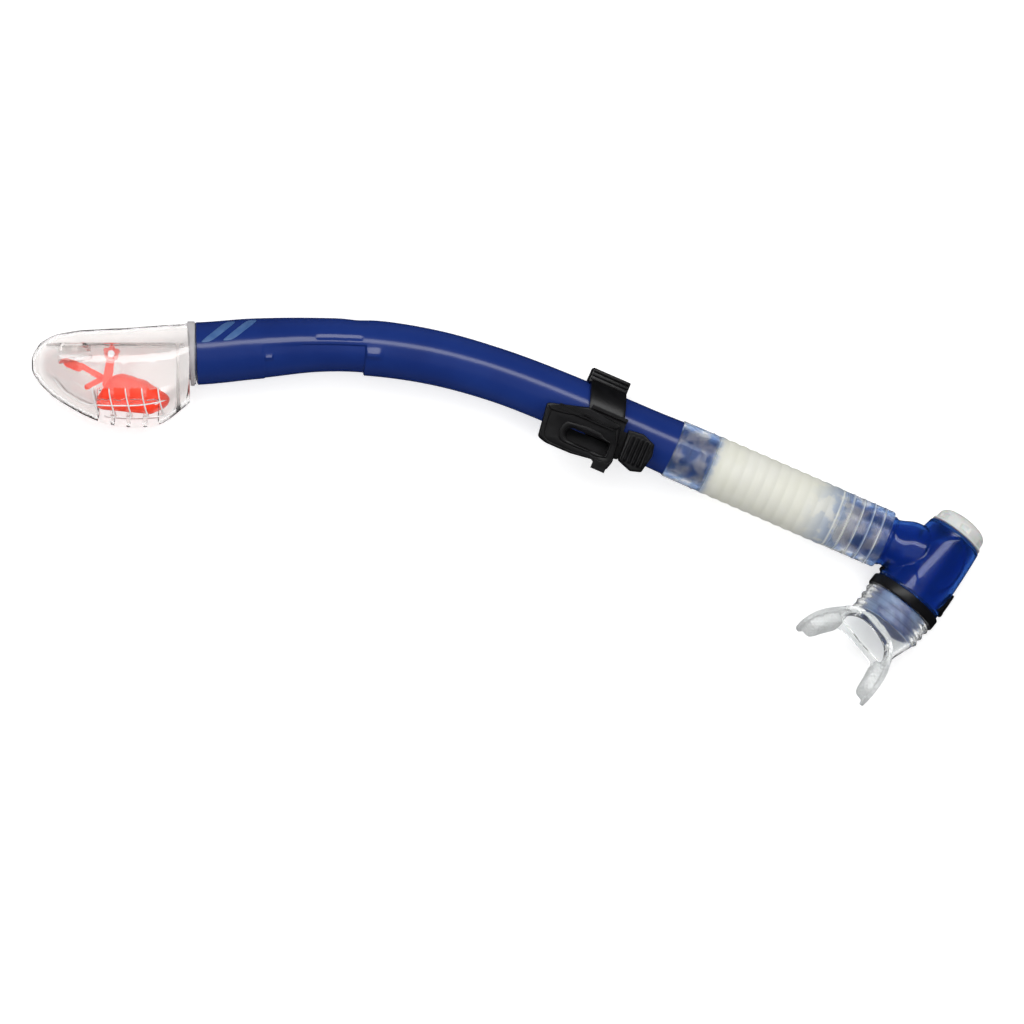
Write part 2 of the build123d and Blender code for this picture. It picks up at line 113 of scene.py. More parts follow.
MOUTH_ROLL = math.radians(12.0)
OUT = unit(MOUNT["mouth_opening"]["axis"])
LEVEL = unit(np.cross(UP, OUT))
RISE = np.cross(OUT, LEVEL)
MOUTH = Line(
    MOUNT["mouth_opening"]["pos_m"],
    OUT,
    LEVEL * math.cos(MOUTH_ROLL) + RISE * math.sin(MOUTH_ROLL),
)

FOOT_MIDDLE = -2.7         # the foot's middle, along the tube from the keeper's
KEEPER_AT = np.array(MOUNT["keeper_foot"]["pos_m"]) - FOOT_MIDDLE * MM * DOWN_TUBE
KEEPER = Line((*KEEPER_AT[:2], LIE), UP, DOWN_TUBE)
print("hose top", HOSE.o.round(4), "chamber", CHAMBER.o.round(4), "mouth x", MOUTH.x.round(3))


# %% [markdown]
# ## From arrays to meshes
# A shape here is a grid of points, rows by columns, that a formula fills. One function joins the
# neighbours into four-sided faces, closes the ends and turns every face outwards.

# %% Grid to mesh
def mesh_of(name, points, faces, soften=40.0):
    """A mesh object from points and faces, smooth except over edges sharper than soften degrees."""
    mesh = bpy.data.meshes.new(name)
    mesh.from_pydata(points.tolist(), [], faces)
    tidy = bmesh.new()
    tidy.from_mesh(mesh)
    bmesh.ops.recalc_face_normals(tidy, faces=tidy.faces)
    tidy.to_mesh(mesh)
    tidy.free()
    smooth(mesh, soften)
    obj = bpy.data.objects.new(name, mesh)
    bpy.context.scene.collection.objects.link(obj)
    return obj


def smooth(mesh, soften=40.0):
    """Smooth shading that keeps edges sharper than soften degrees."""
    mesh.polygons.foreach_set("use_smooth", np.ones(len(mesh.polygons), bool))
    mesh.set_sharp_from_angle(angle=math.radians(soften))
    mesh.update()


def grid_faces(rows, columns, wrap_rows=False, wrap_columns=True, cap=True):
    """Quads between neighbouring grid points, with a many-sided cap on each open end."""
    index = np.arange(rows * columns).reshape(rows, columns)
    ends = [index[0].tolist(), index[-1][::-1].tolist()]
    if wrap_rows:
        index = np.vstack([index, index[:1]])
    if wrap_columns:
        index = np.hstack([index, index[:, :1]])
    corners = (index[:-1, :-1], index[1:, :-1], index[1:, 1:], index[:-1, 1:])
    faces = np.stack(corners, -1).reshape(-1, 4).tolist()
    if cap and wrap_columns and not wrap_rows:
        faces += ends
    return faces


def skin(name, grid, wrap_rows=False, wrap_columns=True, soften=40.0):
    """Grid (rows, columns, 3) in metres as a closed mesh object."""
    rows, columns = grid.shape[:2]
    faces = grid_faces(rows, columns, wrap_rows, wrap_columns)
    return mesh_of(name, grid.reshape(-1, 3), faces, soften)


print("3 rows by 4 columns, wrapped and capped:", len(grid_faces(3, 4)), "faces")


# %% [markdown]
# ### Round forms
# Most of the snorkel is round, so a profile of radius against distance is spun about a line: each
# point stands at its radius times the cosine of the turn one way, and times the sine the other.

# %% Profiles spun about a line
def round_turn(columns):
    """Evenly spaced turns round a circle."""
    return np.linspace(0, 2 * np.pi, columns, endpoint=False)


def turned(name, line, profile, columns=128, swell=None, soften=40.0, closed=True):
    """Profile of (radius, z) millimetres spun about a line; swell changes the radius by place."""
    profile = np.asarray(profile, float)
    turn = round_turn(columns)[None, :]
    radius = profile[:, :1] + 0 * turn
    z = profile[:, 1:] + 0 * turn
    if swell is not None:
        radius = radius + swell(z, turn + 0 * z, radius)
    local = np.stack([radius * np.cos(turn), radius * np.sin(turn), z], -1)
    return skin(name, line.put(local), wrap_rows=closed, soften=soften)


def spun(name, line, profile, swell=None):
    """The same for an open profile that starts and ends by the axis, where it is capped."""
    return turned(name, line, profile, swell=swell, closed=False)


def ramp(x, a, b):
    """0 below a, 1 above b, and smooth between: 3t^2 - 2t^3."""
    t = np.clip((np.asarray(x, float) - a) / (b - a), 0, 1)
    return t * t * (3 - 2 * t)


def rounded_section(r0, r1, z0, z1, fillet, steps=5):
    """Closed rectangle of radius r0..r1 by z z0..z1 with round corners, each a quarter circle."""
    quarter = np.linspace(0, np.pi / 2, steps)
    centres = [(r1 - fillet, z1 - fillet, 0), (r0 + fillet, z1 - fillet, 1)]
    centres += [(r0 + fillet, z0 + fillet, 2), (r1 - fillet, z0 + fillet, 3)]
    arcs = []
    for r, z, k in centres:
        a = quarter + k * np.pi / 2
        arcs.append(np.stack([r + fillet * np.cos(a), z + fillet * np.sin(a)], -1))
    return np.concatenate(arcs)


print("profiles and ramps ready; half way up a ramp:", float(ramp(0.5, 0, 1)))


# %% [markdown]
# ## Materials
# Every surface is a moulded plastic or silicone, so one helper adds shader nodes and each
# material states its own colour, gloss and fine surface. Patterns read Object coordinates in
# metres, so their scale is one over a real spacing.

# %% Shader helpers
def linear(hex_code):
    """sRGB hex to the linear colour that shaders work in."""
    c = np.array([int(hex_code[i:i + 2], 16) for i in (1, 3, 5)]) / 255
    c = np.where(c <= 0.04045, c / 12.92, ((c + 0.055) / 1.055) ** 2.4)
    return (*c.tolist(), 1.0)


def add(tree, kind, settings=None, values=None, links=None):
    """Add a shader node with its settings, socket values and incoming links."""
    made = tree.nodes.new(kind)
    for key, value in (settings or {}).items():
        setattr(made, key, value)
    for key, value in (values or {}).items():
        made.inputs[key].default_value = value
    for key, source in (links or {}).items():
        tree.links.new(source, made.inputs[key])
    return made


def material(name, shader):
    """A new material whose output takes the shader that the function builds in its node tree."""
    mat = bpy.data.materials.new(name)
    mat.use_nodes = True
    tree = mat.node_tree
    tree.nodes.clear()
    out = add(tree, "ShaderNodeOutputMaterial")
    tree.links.new(shader(tree), out.inputs["Surface"])
    return mat


print("linear mid grey", round(linear("#808080")[0], 3))


# %% [markdown]
# Four small recipes are used again and again: bump from noise, a colour that drifts, a value that
# follows an attribute, and the surface that takes them all.

# %% Shader recipes
def speckle(tree, spacing_mm, detail):
    """Noise whose blobs are spacing_mm apart."""
    place = add(tree, "ShaderNodeTexCoord").outputs["Object"]
    values = {"Scale": 1 / (spacing_mm * MM), "Detail": detail}
    return add(tree, "ShaderNodeTexNoise", values=values, links={"Vector": place}).outputs["Fac"]


def grain(tree, spacing_mm, strength, distance_mm):
    """Bump from noise whose bumps are spacing_mm apart and distance_mm high."""
    values = {"Strength": strength, "Distance": distance_mm * MM}
    links = {"Height": speckle(tree, spacing_mm, 2.0)}
    return add(tree, "ShaderNodeBump", values=values, links=links).outputs["Normal"]


def mottle(tree, spacing_mm, dark, light, low=0.3, high=0.7):
    """Colour that drifts between two shades over spacing_mm."""
    blend = add(tree, "ShaderNodeValToRGB", links={"Fac": speckle(tree, spacing_mm, 3.0)})
    for stop, position, colour in zip(blend.color_ramp.elements, (low, high), (dark, light)):
        stop.position = position
        stop.color = linear(colour)
    return blend.outputs["Color"]


def painted(tree, attribute):
    """The value that a mesh attribute gives each point."""
    return add(tree, "ShaderNodeAttribute", {"attribute_name": attribute}).outputs["Fac"]


def follow(tree, source, low, high):
    """A value that runs from low to high while source runs from 0 to 1."""
    values = {"To Min": low, "To Max": high}
    return add(tree, "ShaderNodeMapRange", values=values, links={"Value": source}).outputs["Result"]


def surface(tree, values, links):
    """A Principled surface from plain values and from linked ones."""
    return add(tree, "ShaderNodeBsdfPrincipled", values=values, links=links).outputs[0]


print("recipes ready")


# %% [markdown]
# ### Solid plastics
# The barrel is PVC, blown against a polished mould, so it is glossy and slightly wavy. The float
# is fluorescent ABS, made brighter than its surroundings by a painted glow in its material. The keeper
# is nylon with an etched grain, and the purge cap is waxy polypropylene.

# %% Solid plastics
def blue_barrel(tree):
    """Blow-formed PVC: deep blue and glossy, with a slow waviness from the forming."""
    return surface(tree, {"Roughness": 0.2, "IOR": 1.5},
                   {"Base Color": mottle(tree, 35, "#182C6C", "#1D3478"),
                    "Normal": grain(tree, 14, 0.35, 0.22)})


def blue_spigot(tree):
    """The same PVC where silicone lies on it: blotches of wet contact and of trapped air."""
    return surface(tree, {"Roughness": 0.3, "IOR": 1.5},
                   {"Base Color": mottle(tree, 9, "#2C4C98", "#7C9CD0", 0.42, 0.62),
                    "Normal": grain(tree, 8, 0.3, 0.2)})


def orange_float_painted_glow(tree):
    """Fluorescent orange-red ABS, satin from the mould, with a painted glow: its emission adds red light of its
    own.
    """
    # The emission here is a painted glow: the float gives out red light though it is no lamp.
    return surface(tree, {"Roughness": 0.38, "IOR": 1.45, "Subsurface Weight": 0.2,
                          "Subsurface Scale": 0.003, "Subsurface Radius": (1.0, 0.3, 0.2),
                          "Emission Color": linear("#FF4A30"), "Emission Strength": 0.3},
                   {"Base Color": mottle(tree, 12, "#FF3C22", "#FF5238"),
                    "Normal": grain(tree, 0.8, 0.15, 0.04)})


def black_nylon(tree):
    """Glass-filled nylon: black, satin, with the fine grain of an etched mould."""
    return surface(tree, {"Roughness": 0.36, "IOR": 1.5},
                   {"Base Color": mottle(tree, 6, "#0A0A0B", "#141416"),
                    "Normal": grain(tree, 0.5, 0.3, 0.05)})


def milky_cap(tree):
    """Unpigmented polypropylene: cream white, waxy, half see-through."""
    return surface(tree, {"Roughness": 0.35, "IOR": 1.49, "Transmission Weight": 0.2,
                          "Subsurface Weight": 0.3, "Subsurface Scale": 0.004},
                   {"Base Color": mottle(tree, 10, "#DEDEDC", "#E8E8E6"),
                    "Normal": grain(tree, 1.2, 0.1, 0.05)})


print("solid plastics described")


# %% [markdown]
# ### Clear plastics
# Polycarbonate lets light through, and how much of it depends on the mould: polished walls are
# water clear, etched ones look white. The chamber's is tinted, so two walls look deeper than one.

# %% Clear plastics
def clear_head(tree):
    """Injection-moulded polycarbonate: water clear, with faint flow ripples."""
    return surface(tree, {"Roughness": 0.05, "IOR": 1.45, "Transmission Weight": 0.96,
                          "Base Color": linear("#FDFBFA")},
                   {"Normal": grain(tree, 9, 0.35, 0.6)})


def frosted(tree):
    """The same polycarbonate with a fine etched face, which scatters light and reads as white."""
    return surface(tree, {"Roughness": 0.45, "IOR": 1.45, "Transmission Weight": 0.55},
                   {"Base Color": mottle(tree, 8, "#DDD9DC", "#F4F1F1"),
                    "Normal": grain(tree, 1.0, 0.3, 0.08)})


def ridge(tree):
    """Moulded ridges of the cage in near-opaque white: a painted highlight for the bright lines that the clear
    ribs show.
    """
    return surface(tree, {"Roughness": 0.3, "IOR": 1.45, "Transmission Weight": 0.1},
                   {"Base Color": mottle(tree, 6, "#F4F0EE", "#FFFFFF"),
                    "Normal": grain(tree, 1.0, 0.2, 0.05)})


def clear_blue(tree):
    """Tinted polycarbonate: transparent blue that deepens where the light crosses more of it."""
    return surface(tree, {"Roughness": 0.14, "IOR": 1.45, "Transmission Weight": 0.9},
                   {"Base Color": mottle(tree, 30, "#2A54AA", "#3A6AC0"),
                    "Normal": grain(tree, 16, 0.2, 0.2)})


print("clear plastics described")


# %% [markdown]
# ### Silicones, wire and inlay
# Two silicones read an attribute of their mesh. On the hose it says where the cuff is stretched
# clear over the blue spigot; on the mouthpiece it says where teeth grip, which is dotted.

# %% Silicones, wire and inlay
def milky_hose(tree):
    """Translucent silicone: milky on the ribs, nearly clear on the cuffs."""
    clear = painted(tree, "clear")
    shade = add(tree, "ShaderNodeMix", {"data_type": "RGBA"}, links={
        0: clear,
        6: mottle(tree, 18, "#F0F0E2", "#F5F5EC"),
        7: mottle(tree, 7, "#84A6DC", "#F6F8FA", 0.46, 0.56)}).outputs[2]
    return surface(tree, {"IOR": 1.41, "Subsurface Weight": 0.15, "Subsurface Scale": 0.004,
                          "Subsurface Radius": (1.0, 1.0, 0.9)},
                   {"Base Color": shade, "Roughness": follow(tree, clear, 0.42, 0.2),
                    "Transmission Weight": follow(tree, clear, 0.25, 0.9),
                    "Normal": grain(tree, 1.5, 0.12, 0.06)})


DOT_STEP = 1.7             # millimetres between the bite's dots


def clear_silicone(tree):
    """Liquid-moulded silicone: nearly clear with a soft sheen, dotted and cloudy where teeth grip."""
    bite = painted(tree, "bite")
    place = add(tree, "ShaderNodeTexCoord").outputs["Object"]
    dots = add(tree, "ShaderNodeTexVoronoi", links={"Vector": place},
               values={"Scale": 1 / (DOT_STEP * MM), "Randomness": 0.15}).outputs["Distance"]
    relief = add(tree, "ShaderNodeMath", {"operation": "MULTIPLY"}, links={0: dots, 1: bite}).outputs[0]
    bump = add(tree, "ShaderNodeBump", links={"Height": relief},
               values={"Strength": 1.0, "Distance": 0.7 * MM}).outputs["Normal"]
    return surface(tree, {"IOR": 1.38},
                   {"Base Color": mottle(tree, 15, "#EDF0F0", "#F6F7F7"), "Normal": bump,
                    "Roughness": follow(tree, bite, 0.14, 0.45),
                    "Transmission Weight": follow(tree, bite, 0.93, 0.35)})


def steel(tree):
    """Drawn stainless wire, lightly brushed."""
    return surface(tree, {"Metallic": 1.0, "Roughness": 0.28, "Base Color": linear("#B9BABD")},
                   {"Normal": grain(tree, 0.6, 0.1, 0.02)})


def grey_inlay(tree):
    """Soft grey-blue elastomer set into the barrel."""
    return surface(tree, {"Roughness": 0.4, "IOR": 1.5},
                   {"Base Color": mottle(tree, 5, "#34568A", "#48699A"),
                    "Normal": grain(tree, 0.7, 0.3, 0.06)})


print("silicones described")


# %% [markdown]
# ### The finishes by name
# Every piece takes one finish and the body it moves with, and hides the CAD nodes it stands for.
# A few small CAD nodes are already right and only change their material.

# %% Finishes
FINISH = {
    "pvc_blue": material("pvc_blue_gloss", blue_barrel),
    "pvc_spigot": material("pvc_blue_wetted", blue_spigot),
    "pc_clear": material("polycarbonate_clear", clear_head),
    "pc_frosted": material("polycarbonate_frosted", frosted),
    "pc_ridge_painted_highlight": material("polycarbonate_ridge_painted_highlight", ridge),
    "abs_orange": material("abs_orange_red_painted_glow", orange_float_painted_glow),
    "silicone_hose": material("silicone_milky", milky_hose),
    "nylon_black": material("nylon_black_satin", black_nylon),
    "pc_blue": material("polycarbonate_blue", clear_blue),
    "pp_milky": material("polypropylene_milky", milky_cap),
    "silicone_clear": material("silicone_clear", clear_silicone),
    "steel": material("stainless_wire", steel),
    "elastomer_grey": material("elastomer_grey_blue", grey_inlay),
}


def finish_piece(piece, finish, slot, body, *nodes):
    """Give a piece its finish and body, and hide the nodes it stands for; its slot is not used."""
    piece.data.materials.clear()
    piece.data.materials.append(FINISH[finish])
    if body:
        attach(piece, body)
    if nodes:
        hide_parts(*nodes)
    print(piece.name, len(piece.data.polygons), "faces")
    return piece


def repaint(node, finish):
    """A CAD node that keeps its shape gets the finish in every slot."""
    for held in frame["nodes"][node].material_slots:
        held.material = FINISH[finish]


print(len(FINISH), "finishes")


# %% [markdown]
# ## The barrel
# The real barrel is a blow-formed tube: wide and almost straight under the head, slimmer through
# the bend, with a shallow scoop for the thumb on its face that ends in a sharp step. It is made
# as one skin: a profile goes down the outside, round the lower spigot's end and back up inside,
# and is carried round a curved centre line.

# %% Barrel centre line
STATIONS = np.array([      # x, y, radius
    (-156.4, 79.4, 15.5),
    (-128.2, 81.74, 15.1),
    (-98.2, 83.24, 14.0),
    (-68.2, 82.14, 13.9),
    (-38.2, 77.54, 13.6),
    (-8.2, 69.24, 13.3),
    (29.8, 54.64, 13.5),
])
STRAIGHT = 55.0            # the last stretch, down to the hose
STRAIGHT_RADII = (13.6, 13.7, 14.1)
TOP_SLOPE = (1, 0.03)      # the way the centre line leaves the head


def cubic(at, values, slopes, x):
    """Smooth curve through values at the places in at: on each stretch the cubic that has the
    value and the slope of both its ends."""
    k = np.clip(np.searchsorted(at, x, side="right") - 1, 0, len(at) - 2)
    h = at[k + 1] - at[k]
    u = (x - at[k]) / h
    if values.ndim == 2:
        h, u = h[:, None], u[:, None]
    from_value, from_slope = 2 * u**3 - 3 * u**2 + 1, u**3 - 2 * u**2 + u
    to_value, to_slope = 3 * u**2 - 2 * u**3, u**3 - u**2
    start = from_value * values[k] + from_slope * h * slopes[k]
    return start + to_value * values[k + 1] + to_slope * h * slopes[k + 1]


def barrel_spine(steps=560):
    """Centre line x, y and radius: a cubic through the stations, then the straight run."""
    straight = HOSE.put([[0, 0, z] for z in (-STRAIGHT * 0.5, -STRAIGHT * 0.25, 0)]) / MM
    knots = np.vstack([STATIONS, np.column_stack([straight[:, :2], STRAIGHT_RADII])])
    step = np.linalg.norm(np.diff(knots[:, :2], axis=0), axis=1)
    t = np.concatenate([[0], np.cumsum(step)])
    slope = np.gradient(knots, t, axis=0)
    slope[0, :2] = TOP_SLOPE
    slope[-3:, :2] = DOWN_TUBE[:2]
    return cubic(t, knots, slope, np.linspace(0, t[-1], steps))


def unit_rows(v):
    """Each row at length one."""
    return v / np.linalg.norm(v, axis=1, keepdims=True)


def carried(spine, radius, columns, dent=None):
    """Rings of the given radii round a centre line that stays level: rows by columns of points."""
    centre = np.column_stack([spine[:, :2], np.full(len(spine), LIE / MM)])
    side = np.cross(UP, unit_rows(np.gradient(centre, axis=0)))
    turn = round_turn(columns)
    r = radius[:, None] + np.zeros(columns)
    if dent is not None:
        r = r + dent(centre[:, None, 0] + 0 * r, turn[None, :] + 0 * r)
    around = np.cos(turn)[None, :, None] * side[:, None] + np.sin(turn)[None, :, None] * UP
    return (centre[:, None] + r[..., None] * around) * MM


SPINE = barrel_spine()
print("barrel centre line from", SPINE[0].round(1), "to", SPINE[-1].round(1))


# %% [markdown]
# ### What the thumb and the mould leave on it
# The radius changes by place. The turn round the barrel is 0 on the far side, a quarter facing up
# and a half on the near side. Below the middle line the face is cut back, and more so towards a
# steep end. Beside it run narrow flats, which catch the light as bright lines.

# %% Barrel surface
SCOOP = (-124.0, -73.2)    # where the thumb scoop starts and ends
SCOOP_EDGE = 0.8
BARREL_R = 14.0
LEAN = 1.388               # turn of a flat that leans a little to the far side


def window(x, a, b, soft):
    """1 between a and b, falling to 0 over soft outside them."""
    return ramp(x, a - soft, a) * (1 - ramp(x, b, b + soft))


def facet(turn, a, b, fall):
    """Extra radius that makes the skin flat between two turns, leaning like LEAN: the radius
    times one cosine over the other, less one. Past b it falls back."""
    flat = BARREL_R * (np.cos(a - LEAN) / np.cos(np.clip(turn, a, b) - LEAN) - 1)
    return flat * (turn > a) * (1 - ramp(turn, b, b + fall))


def barrel_dent(x, turn):
    """Change of radius from the scoop, a pinch on the far side, faint ripples and the flats."""
    start, end = SCOOP
    below = ramp(turn, 1.50, 1.58) * (1 - ramp(turn, 3.3, 4.1))
    scoop = ramp(x, start, start + SCOOP_EDGE) * (1 - ramp(x, end, end + SCOOP_EDGE))
    depth = 0.35 + 1.15 * ramp(x, start, end - 4)
    far_side = np.exp(-(((np.mod(turn + 1, 2 * np.pi) - 1) / 0.8) ** 4))
    pinch = 0.6 * np.exp(-(((x + 77) / 6.0) ** 2)) * far_side
    ripple = 0.10 * np.cos(x * 0.42) * window(x, -116, -70, 8) * window(turn, 0.9, 1.5, 0.3)
    band = facet(turn, 1.30, 1.47, 0.08) * window(x, -121, -100, 5)
    band = band + facet(turn, 1.16, 1.30, 0.10) * window(x, -96, -76, 2.5)
    patch = facet(turn, 1.56, 1.84, 0.22) * window(x, -71.8, -66.5, 1.0 + 2.5 * (x > -69))
    spark = facet(turn, 1.78, 1.92, 0.16) * window(x, -122.5, -119.5, 1.2)
    return ripple + band + patch + spark - depth * scoop * below - pinch


HEAD_SPIGOT = (3.4, 13.0)  # length and radius of the end that the head sits on
HEAD_BORE = 11.5
HOSE_SPIGOT = (20.0, 12.0)
HOSE_BORE = 10.5
WALL = 2.0


def make_barrel(columns=128, lead_steps=6):
    """One closed skin: the head's spigot, the outside, the hose's spigot, and back up inside."""
    radius = SPINE[:, 2]
    outer = carried(SPINE, radius, columns, barrel_dent)
    lead_x = SPINE[0, 0] + np.linspace(-HEAD_SPIGOT[0], 0, lead_steps)
    lead = np.column_stack([lead_x, np.full(lead_steps, SPINE[0, 1])])
    lead_out = carried(lead, np.full(lead_steps, HEAD_SPIGOT[1]), columns)
    lead_in = carried(lead[::-1], np.full(lead_steps, HEAD_BORE), columns)
    shoulder = carried(SPINE[:2], np.array([radius[0] - 0.8, radius[1] - 0.15]), columns)
    z = np.linspace(0.0, HOSE_SPIGOT[0], 90)
    down = HOSE.put(np.stack([0 * z, 0 * z, z], -1)) / MM
    barbs = HOSE_SPIGOT[1] + 0.45 * np.clip(np.sin(z / 6.0 * 2 * np.pi), 0, 1) ** 3
    spigot = carried(down, barbs, columns)
    up = down[::-3]
    bore = carried(up, np.full(len(up), HOSE_BORE), columns)
    inner = carried(SPINE[::-8], np.maximum(radius[::-8] - WALL, HEAD_BORE), columns)
    grid = np.concatenate([lead_out, shoulder[:1], outer[1:], spigot, bore, inner, lead_in])
    return skin("barrel", grid, wrap_rows=True, soften=34.0)


finish_piece(make_barrel(), "pvc_blue", "blue_plastic", "barrel", "barrel_tube")


# %% [markdown]
# ## Two slanted inlays
# Soft grey-blue stripes are moulded into the barrel's upper face. Each is a thin pillow on the
# barrel's own round: a rounded bar drawn flat, then wrapped at the barrel's radius.

# %% Inlays
def make_inlay(name, low_x):
    """Bar 16 mm long and 6 mm wide that leans along the barrel, lifted 0.35 mm off its surface."""
    u = np.linspace(-1, 1, 60)[:, None]
    v = np.linspace(-1, 1, 24)[None, :]
    half_wide = 3.3 * (1 - np.abs(u) ** 6) ** 0.35
    x = low_x + 7.0 + 6.6 * u + v * half_wide * 0.9
    rise = 4.6 + 9.6 * (u + 1) / 2
    centre_y = np.interp(x, STATIONS[:, 0], STATIONS[:, 1])
    radius = np.interp(x, STATIONS[:, 0], STATIONS[:, 2])
    edge = np.clip((1 - np.abs(u) ** 8) * (1 - v**8), 0, 1)
    angle = np.arcsin(np.clip(rise / radius, -1, 0.985))
    sides = []
    for r in (radius + 0.35 * edge**0.35, radius - 0.6):
        sides.append(np.stack([x, centre_y + r * np.sin(angle), LIE / MM + r * np.cos(angle)], -1))
    loop = np.concatenate([sides[0], sides[1][:, ::-1]], axis=1)
    return skin(name, loop * MM, soften=50)


for name, low_x in (("inlay_upper", -152.6), ("inlay_lower", -141.9)):
    finish_piece(make_inlay(name, low_x), "elastomer_grey", "grey_inlay", "barrel", "barrel_" + name)


# %% [markdown]
# ## The hose
# A silicone hose bends where its wall is folded into rings and grips the spigots with plain
# cuffs. Its profile is radius against distance: a cosine wave between the cuffs. An attribute
# says how clear the wall is, because stretched cuffs show the blue spigots and the ribs don't.

# %% Hose
HOSE_LEN, CUFF_TOP, CUFF_LOW = 115.0, 19.0, 28.0
RIBS_END = HOSE_LEN - CUFF_LOW
RING_COUNT = 12
RING = (RIBS_END - CUFF_TOP) / RING_COUNT
LINE_STEP = 5.67           # between the low rings round the lower cuff
LIP = 1.2                  # how far each cuff's end is rounded


def wave(z):
    """0 between two rings and 1 on a ring: half of one less the cosine."""
    return 0.5 - 0.5 * np.cos(2 * np.pi * (z - CUFF_TOP) / RING)


def fine_lines(z):
    """1 on each of the low rings round the lower cuff and 0 between them."""
    line = np.exp(-(((z - 84.4) % LINE_STEP - 2.8) / 0.45) ** 2)
    return line * ramp(z, 84, 87) * (1 - ramp(z, 111, 113))


def hose_radius(z):
    """Outer radius: 14.75 on the cuffs, with low rings, and gently rounded ribs between them."""
    ribbed = 14.65 + 0.42 * wave(z) ** 0.6
    step = 0.35 * np.exp(-((z - 16.2) / 0.6) ** 2) + 0.25 * np.exp(-((z - 21.5) / 0.6) ** 2)
    middle = ramp(z, CUFF_TOP - 1, CUFF_TOP + 1) * (1 - ramp(z, RIBS_END - 1, RIBS_END + 1))
    from_end = np.minimum(z, HOSE_LEN - z)
    lip = 0.35 * np.sqrt(np.clip(1 - (from_end / LIP - 1) ** 2, 0, 1)) - 0.35
    lip = np.where(from_end < LIP, lip, 0)
    return ribbed * middle + (14.75 + 0.3 * fine_lines(z) + step) * (1 - middle) + lip


def make_hose(columns=128):
    """The outside from end to end, then the bore back, whose folds follow the ribs."""
    z = np.linspace(0, HOSE_LEN, 560)
    back = np.linspace(HOSE_LEN, 0, 160)
    inside = ramp(back, CUFF_TOP + 1, CUFF_TOP + 4) * (1 - ramp(back, RIBS_END - 4, RIBS_END))
    bore = 12.5 + inside * (0.1 + 0.5 * wave(back))
    profile = np.concatenate([np.stack([hose_radius(z), z], -1), np.stack([bore, back], -1)])
    hose = turned("hose", HOSE, profile, columns, soften=60)
    along = np.repeat(profile[:, 1], columns)
    clear = 1 - ramp(along, CUFF_TOP - 1.5, CUFF_TOP + 5) + ramp(along, HOSE_LEN - 48, HOSE_LEN - 12)
    clear = clear - 0.5 * fine_lines(along)
    mark = hose.data.attributes.new("clear", "FLOAT", "POINT")
    mark.data.foreach_set("value", np.clip(clear, 0, 1).astype(np.float32))
    return hose


hose = finish_piece(make_hose(), "silicone_hose", "hose_silicone", None, "flex_hose")
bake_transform(hose)


# %% [markdown]
# ## Fusing forms
# The chamber and the mouthpiece are each one moulding with soft fillets where their forms meet.
# Sculpting that by grid is awkward, so simple closed forms are overlapped, turned into one skin
# by a voxel remesh, and relaxed until the joins flow.

# %% Remesh and boolean helpers
def applied(obj):
    """The object with its modifiers made real."""
    graph = bpy.context.evaluated_depsgraph_get()
    mesh = bpy.data.meshes.new_from_object(obj.evaluated_get(graph))
    obj.modifiers.clear()
    old = obj.data
    obj.data = mesh
    bpy.data.meshes.remove(old)
    return obj


def joined(name, pieces):
    """Several mesh objects as one, the originals gone."""
    build = bmesh.new()
    for piece in pieces:
        build.from_mesh(piece.data)
        bpy.data.objects.remove(piece)
    mesh = bpy.data.meshes.new(name)
    build.to_mesh(mesh)
    build.free()
    obj = bpy.data.objects.new(name, mesh)
    bpy.context.scene.collection.objects.link(obj)
    return obj


def fused(name, pieces, voxel_mm, relax):
    """One skin round overlapping closed forms, relaxed so that their joins become fillets."""
    obj = joined(name, pieces)
    remesh = obj.modifiers.new("fuse", "REMESH")
    remesh.mode = "VOXEL"
    remesh.voxel_size = voxel_mm * MM
    soften = obj.modifiers.new("relax", "SMOOTH")
    soften.iterations = relax
    soften.factor = 0.5
    applied(obj)
    smooth(obj.data, 60)
    return obj


def cut(obj, tool):
    """obj less tool, which is removed."""
    less = obj.modifiers.new("cut", "BOOLEAN")
    less.operation = "DIFFERENCE"
    less.object = tool
    less.solver = "EXACT"
    applied(obj)
    bpy.data.objects.remove(tool)
    return obj


print("fusing and cutting ready")


# %% [markdown]
# ## The chamber
# A short cone with a raised leaf on its face, and a neck that flares out of it towards the hose.
# The outer skin is fused; the hollow inside is a second, smaller skin turned inwards, so light
# crosses two real walls of tinted plastic.

# %% Chamber
NECK_END = HOSE_LEN - 25.0
CONE_Z = (-20.4, 20.4)     # from the wide foot to the narrow top
CONE_R = (18.2, 14.75)
CORNER = 1.3
LEAF_TURN = -math.pi / 2 + 0.1
BY_AXIS = 0.4              # radius of the small cap that closes a spun form


def leaf(z, turn, radius):
    """Panel on the face that looks up: raised 0.85 mm inside a pointed oval outline."""
    around = (np.mod(turn - LEAF_TURN + np.pi, 2 * np.pi) - np.pi) * radius
    u = (z - 1.0) / 17.5
    half = 12.5 * (1 - np.clip(np.abs(u), 0, 1) ** 2.2)
    return 0.85 * ramp(half - np.abs(around), 0.0, 1.4)


def to_axis(r, z):
    """Open profile closed towards the axis at both ends."""
    return np.concatenate([[(BY_AXIS, z[0])], np.stack([r, z], -1), [(BY_AXIS, z[-1])]])


def cone_profile(shrink, z0, z1):
    """The chamber's wall from z0 to z1, slightly bellied, with rounded corners."""
    z = np.linspace(z0, z1, 90)
    r = np.interp(z, CONE_Z, CONE_R) + 0.5 * np.sin(np.pi * (z + 20.4) / 40.8) - shrink
    near = np.minimum(z - z0, z1 - z)
    rounded = CORNER - np.sqrt(np.clip(CORNER**2 - (CORNER - near) ** 2, 0, None))
    return to_axis(r - np.where(near < CORNER, rounded, 0), z)


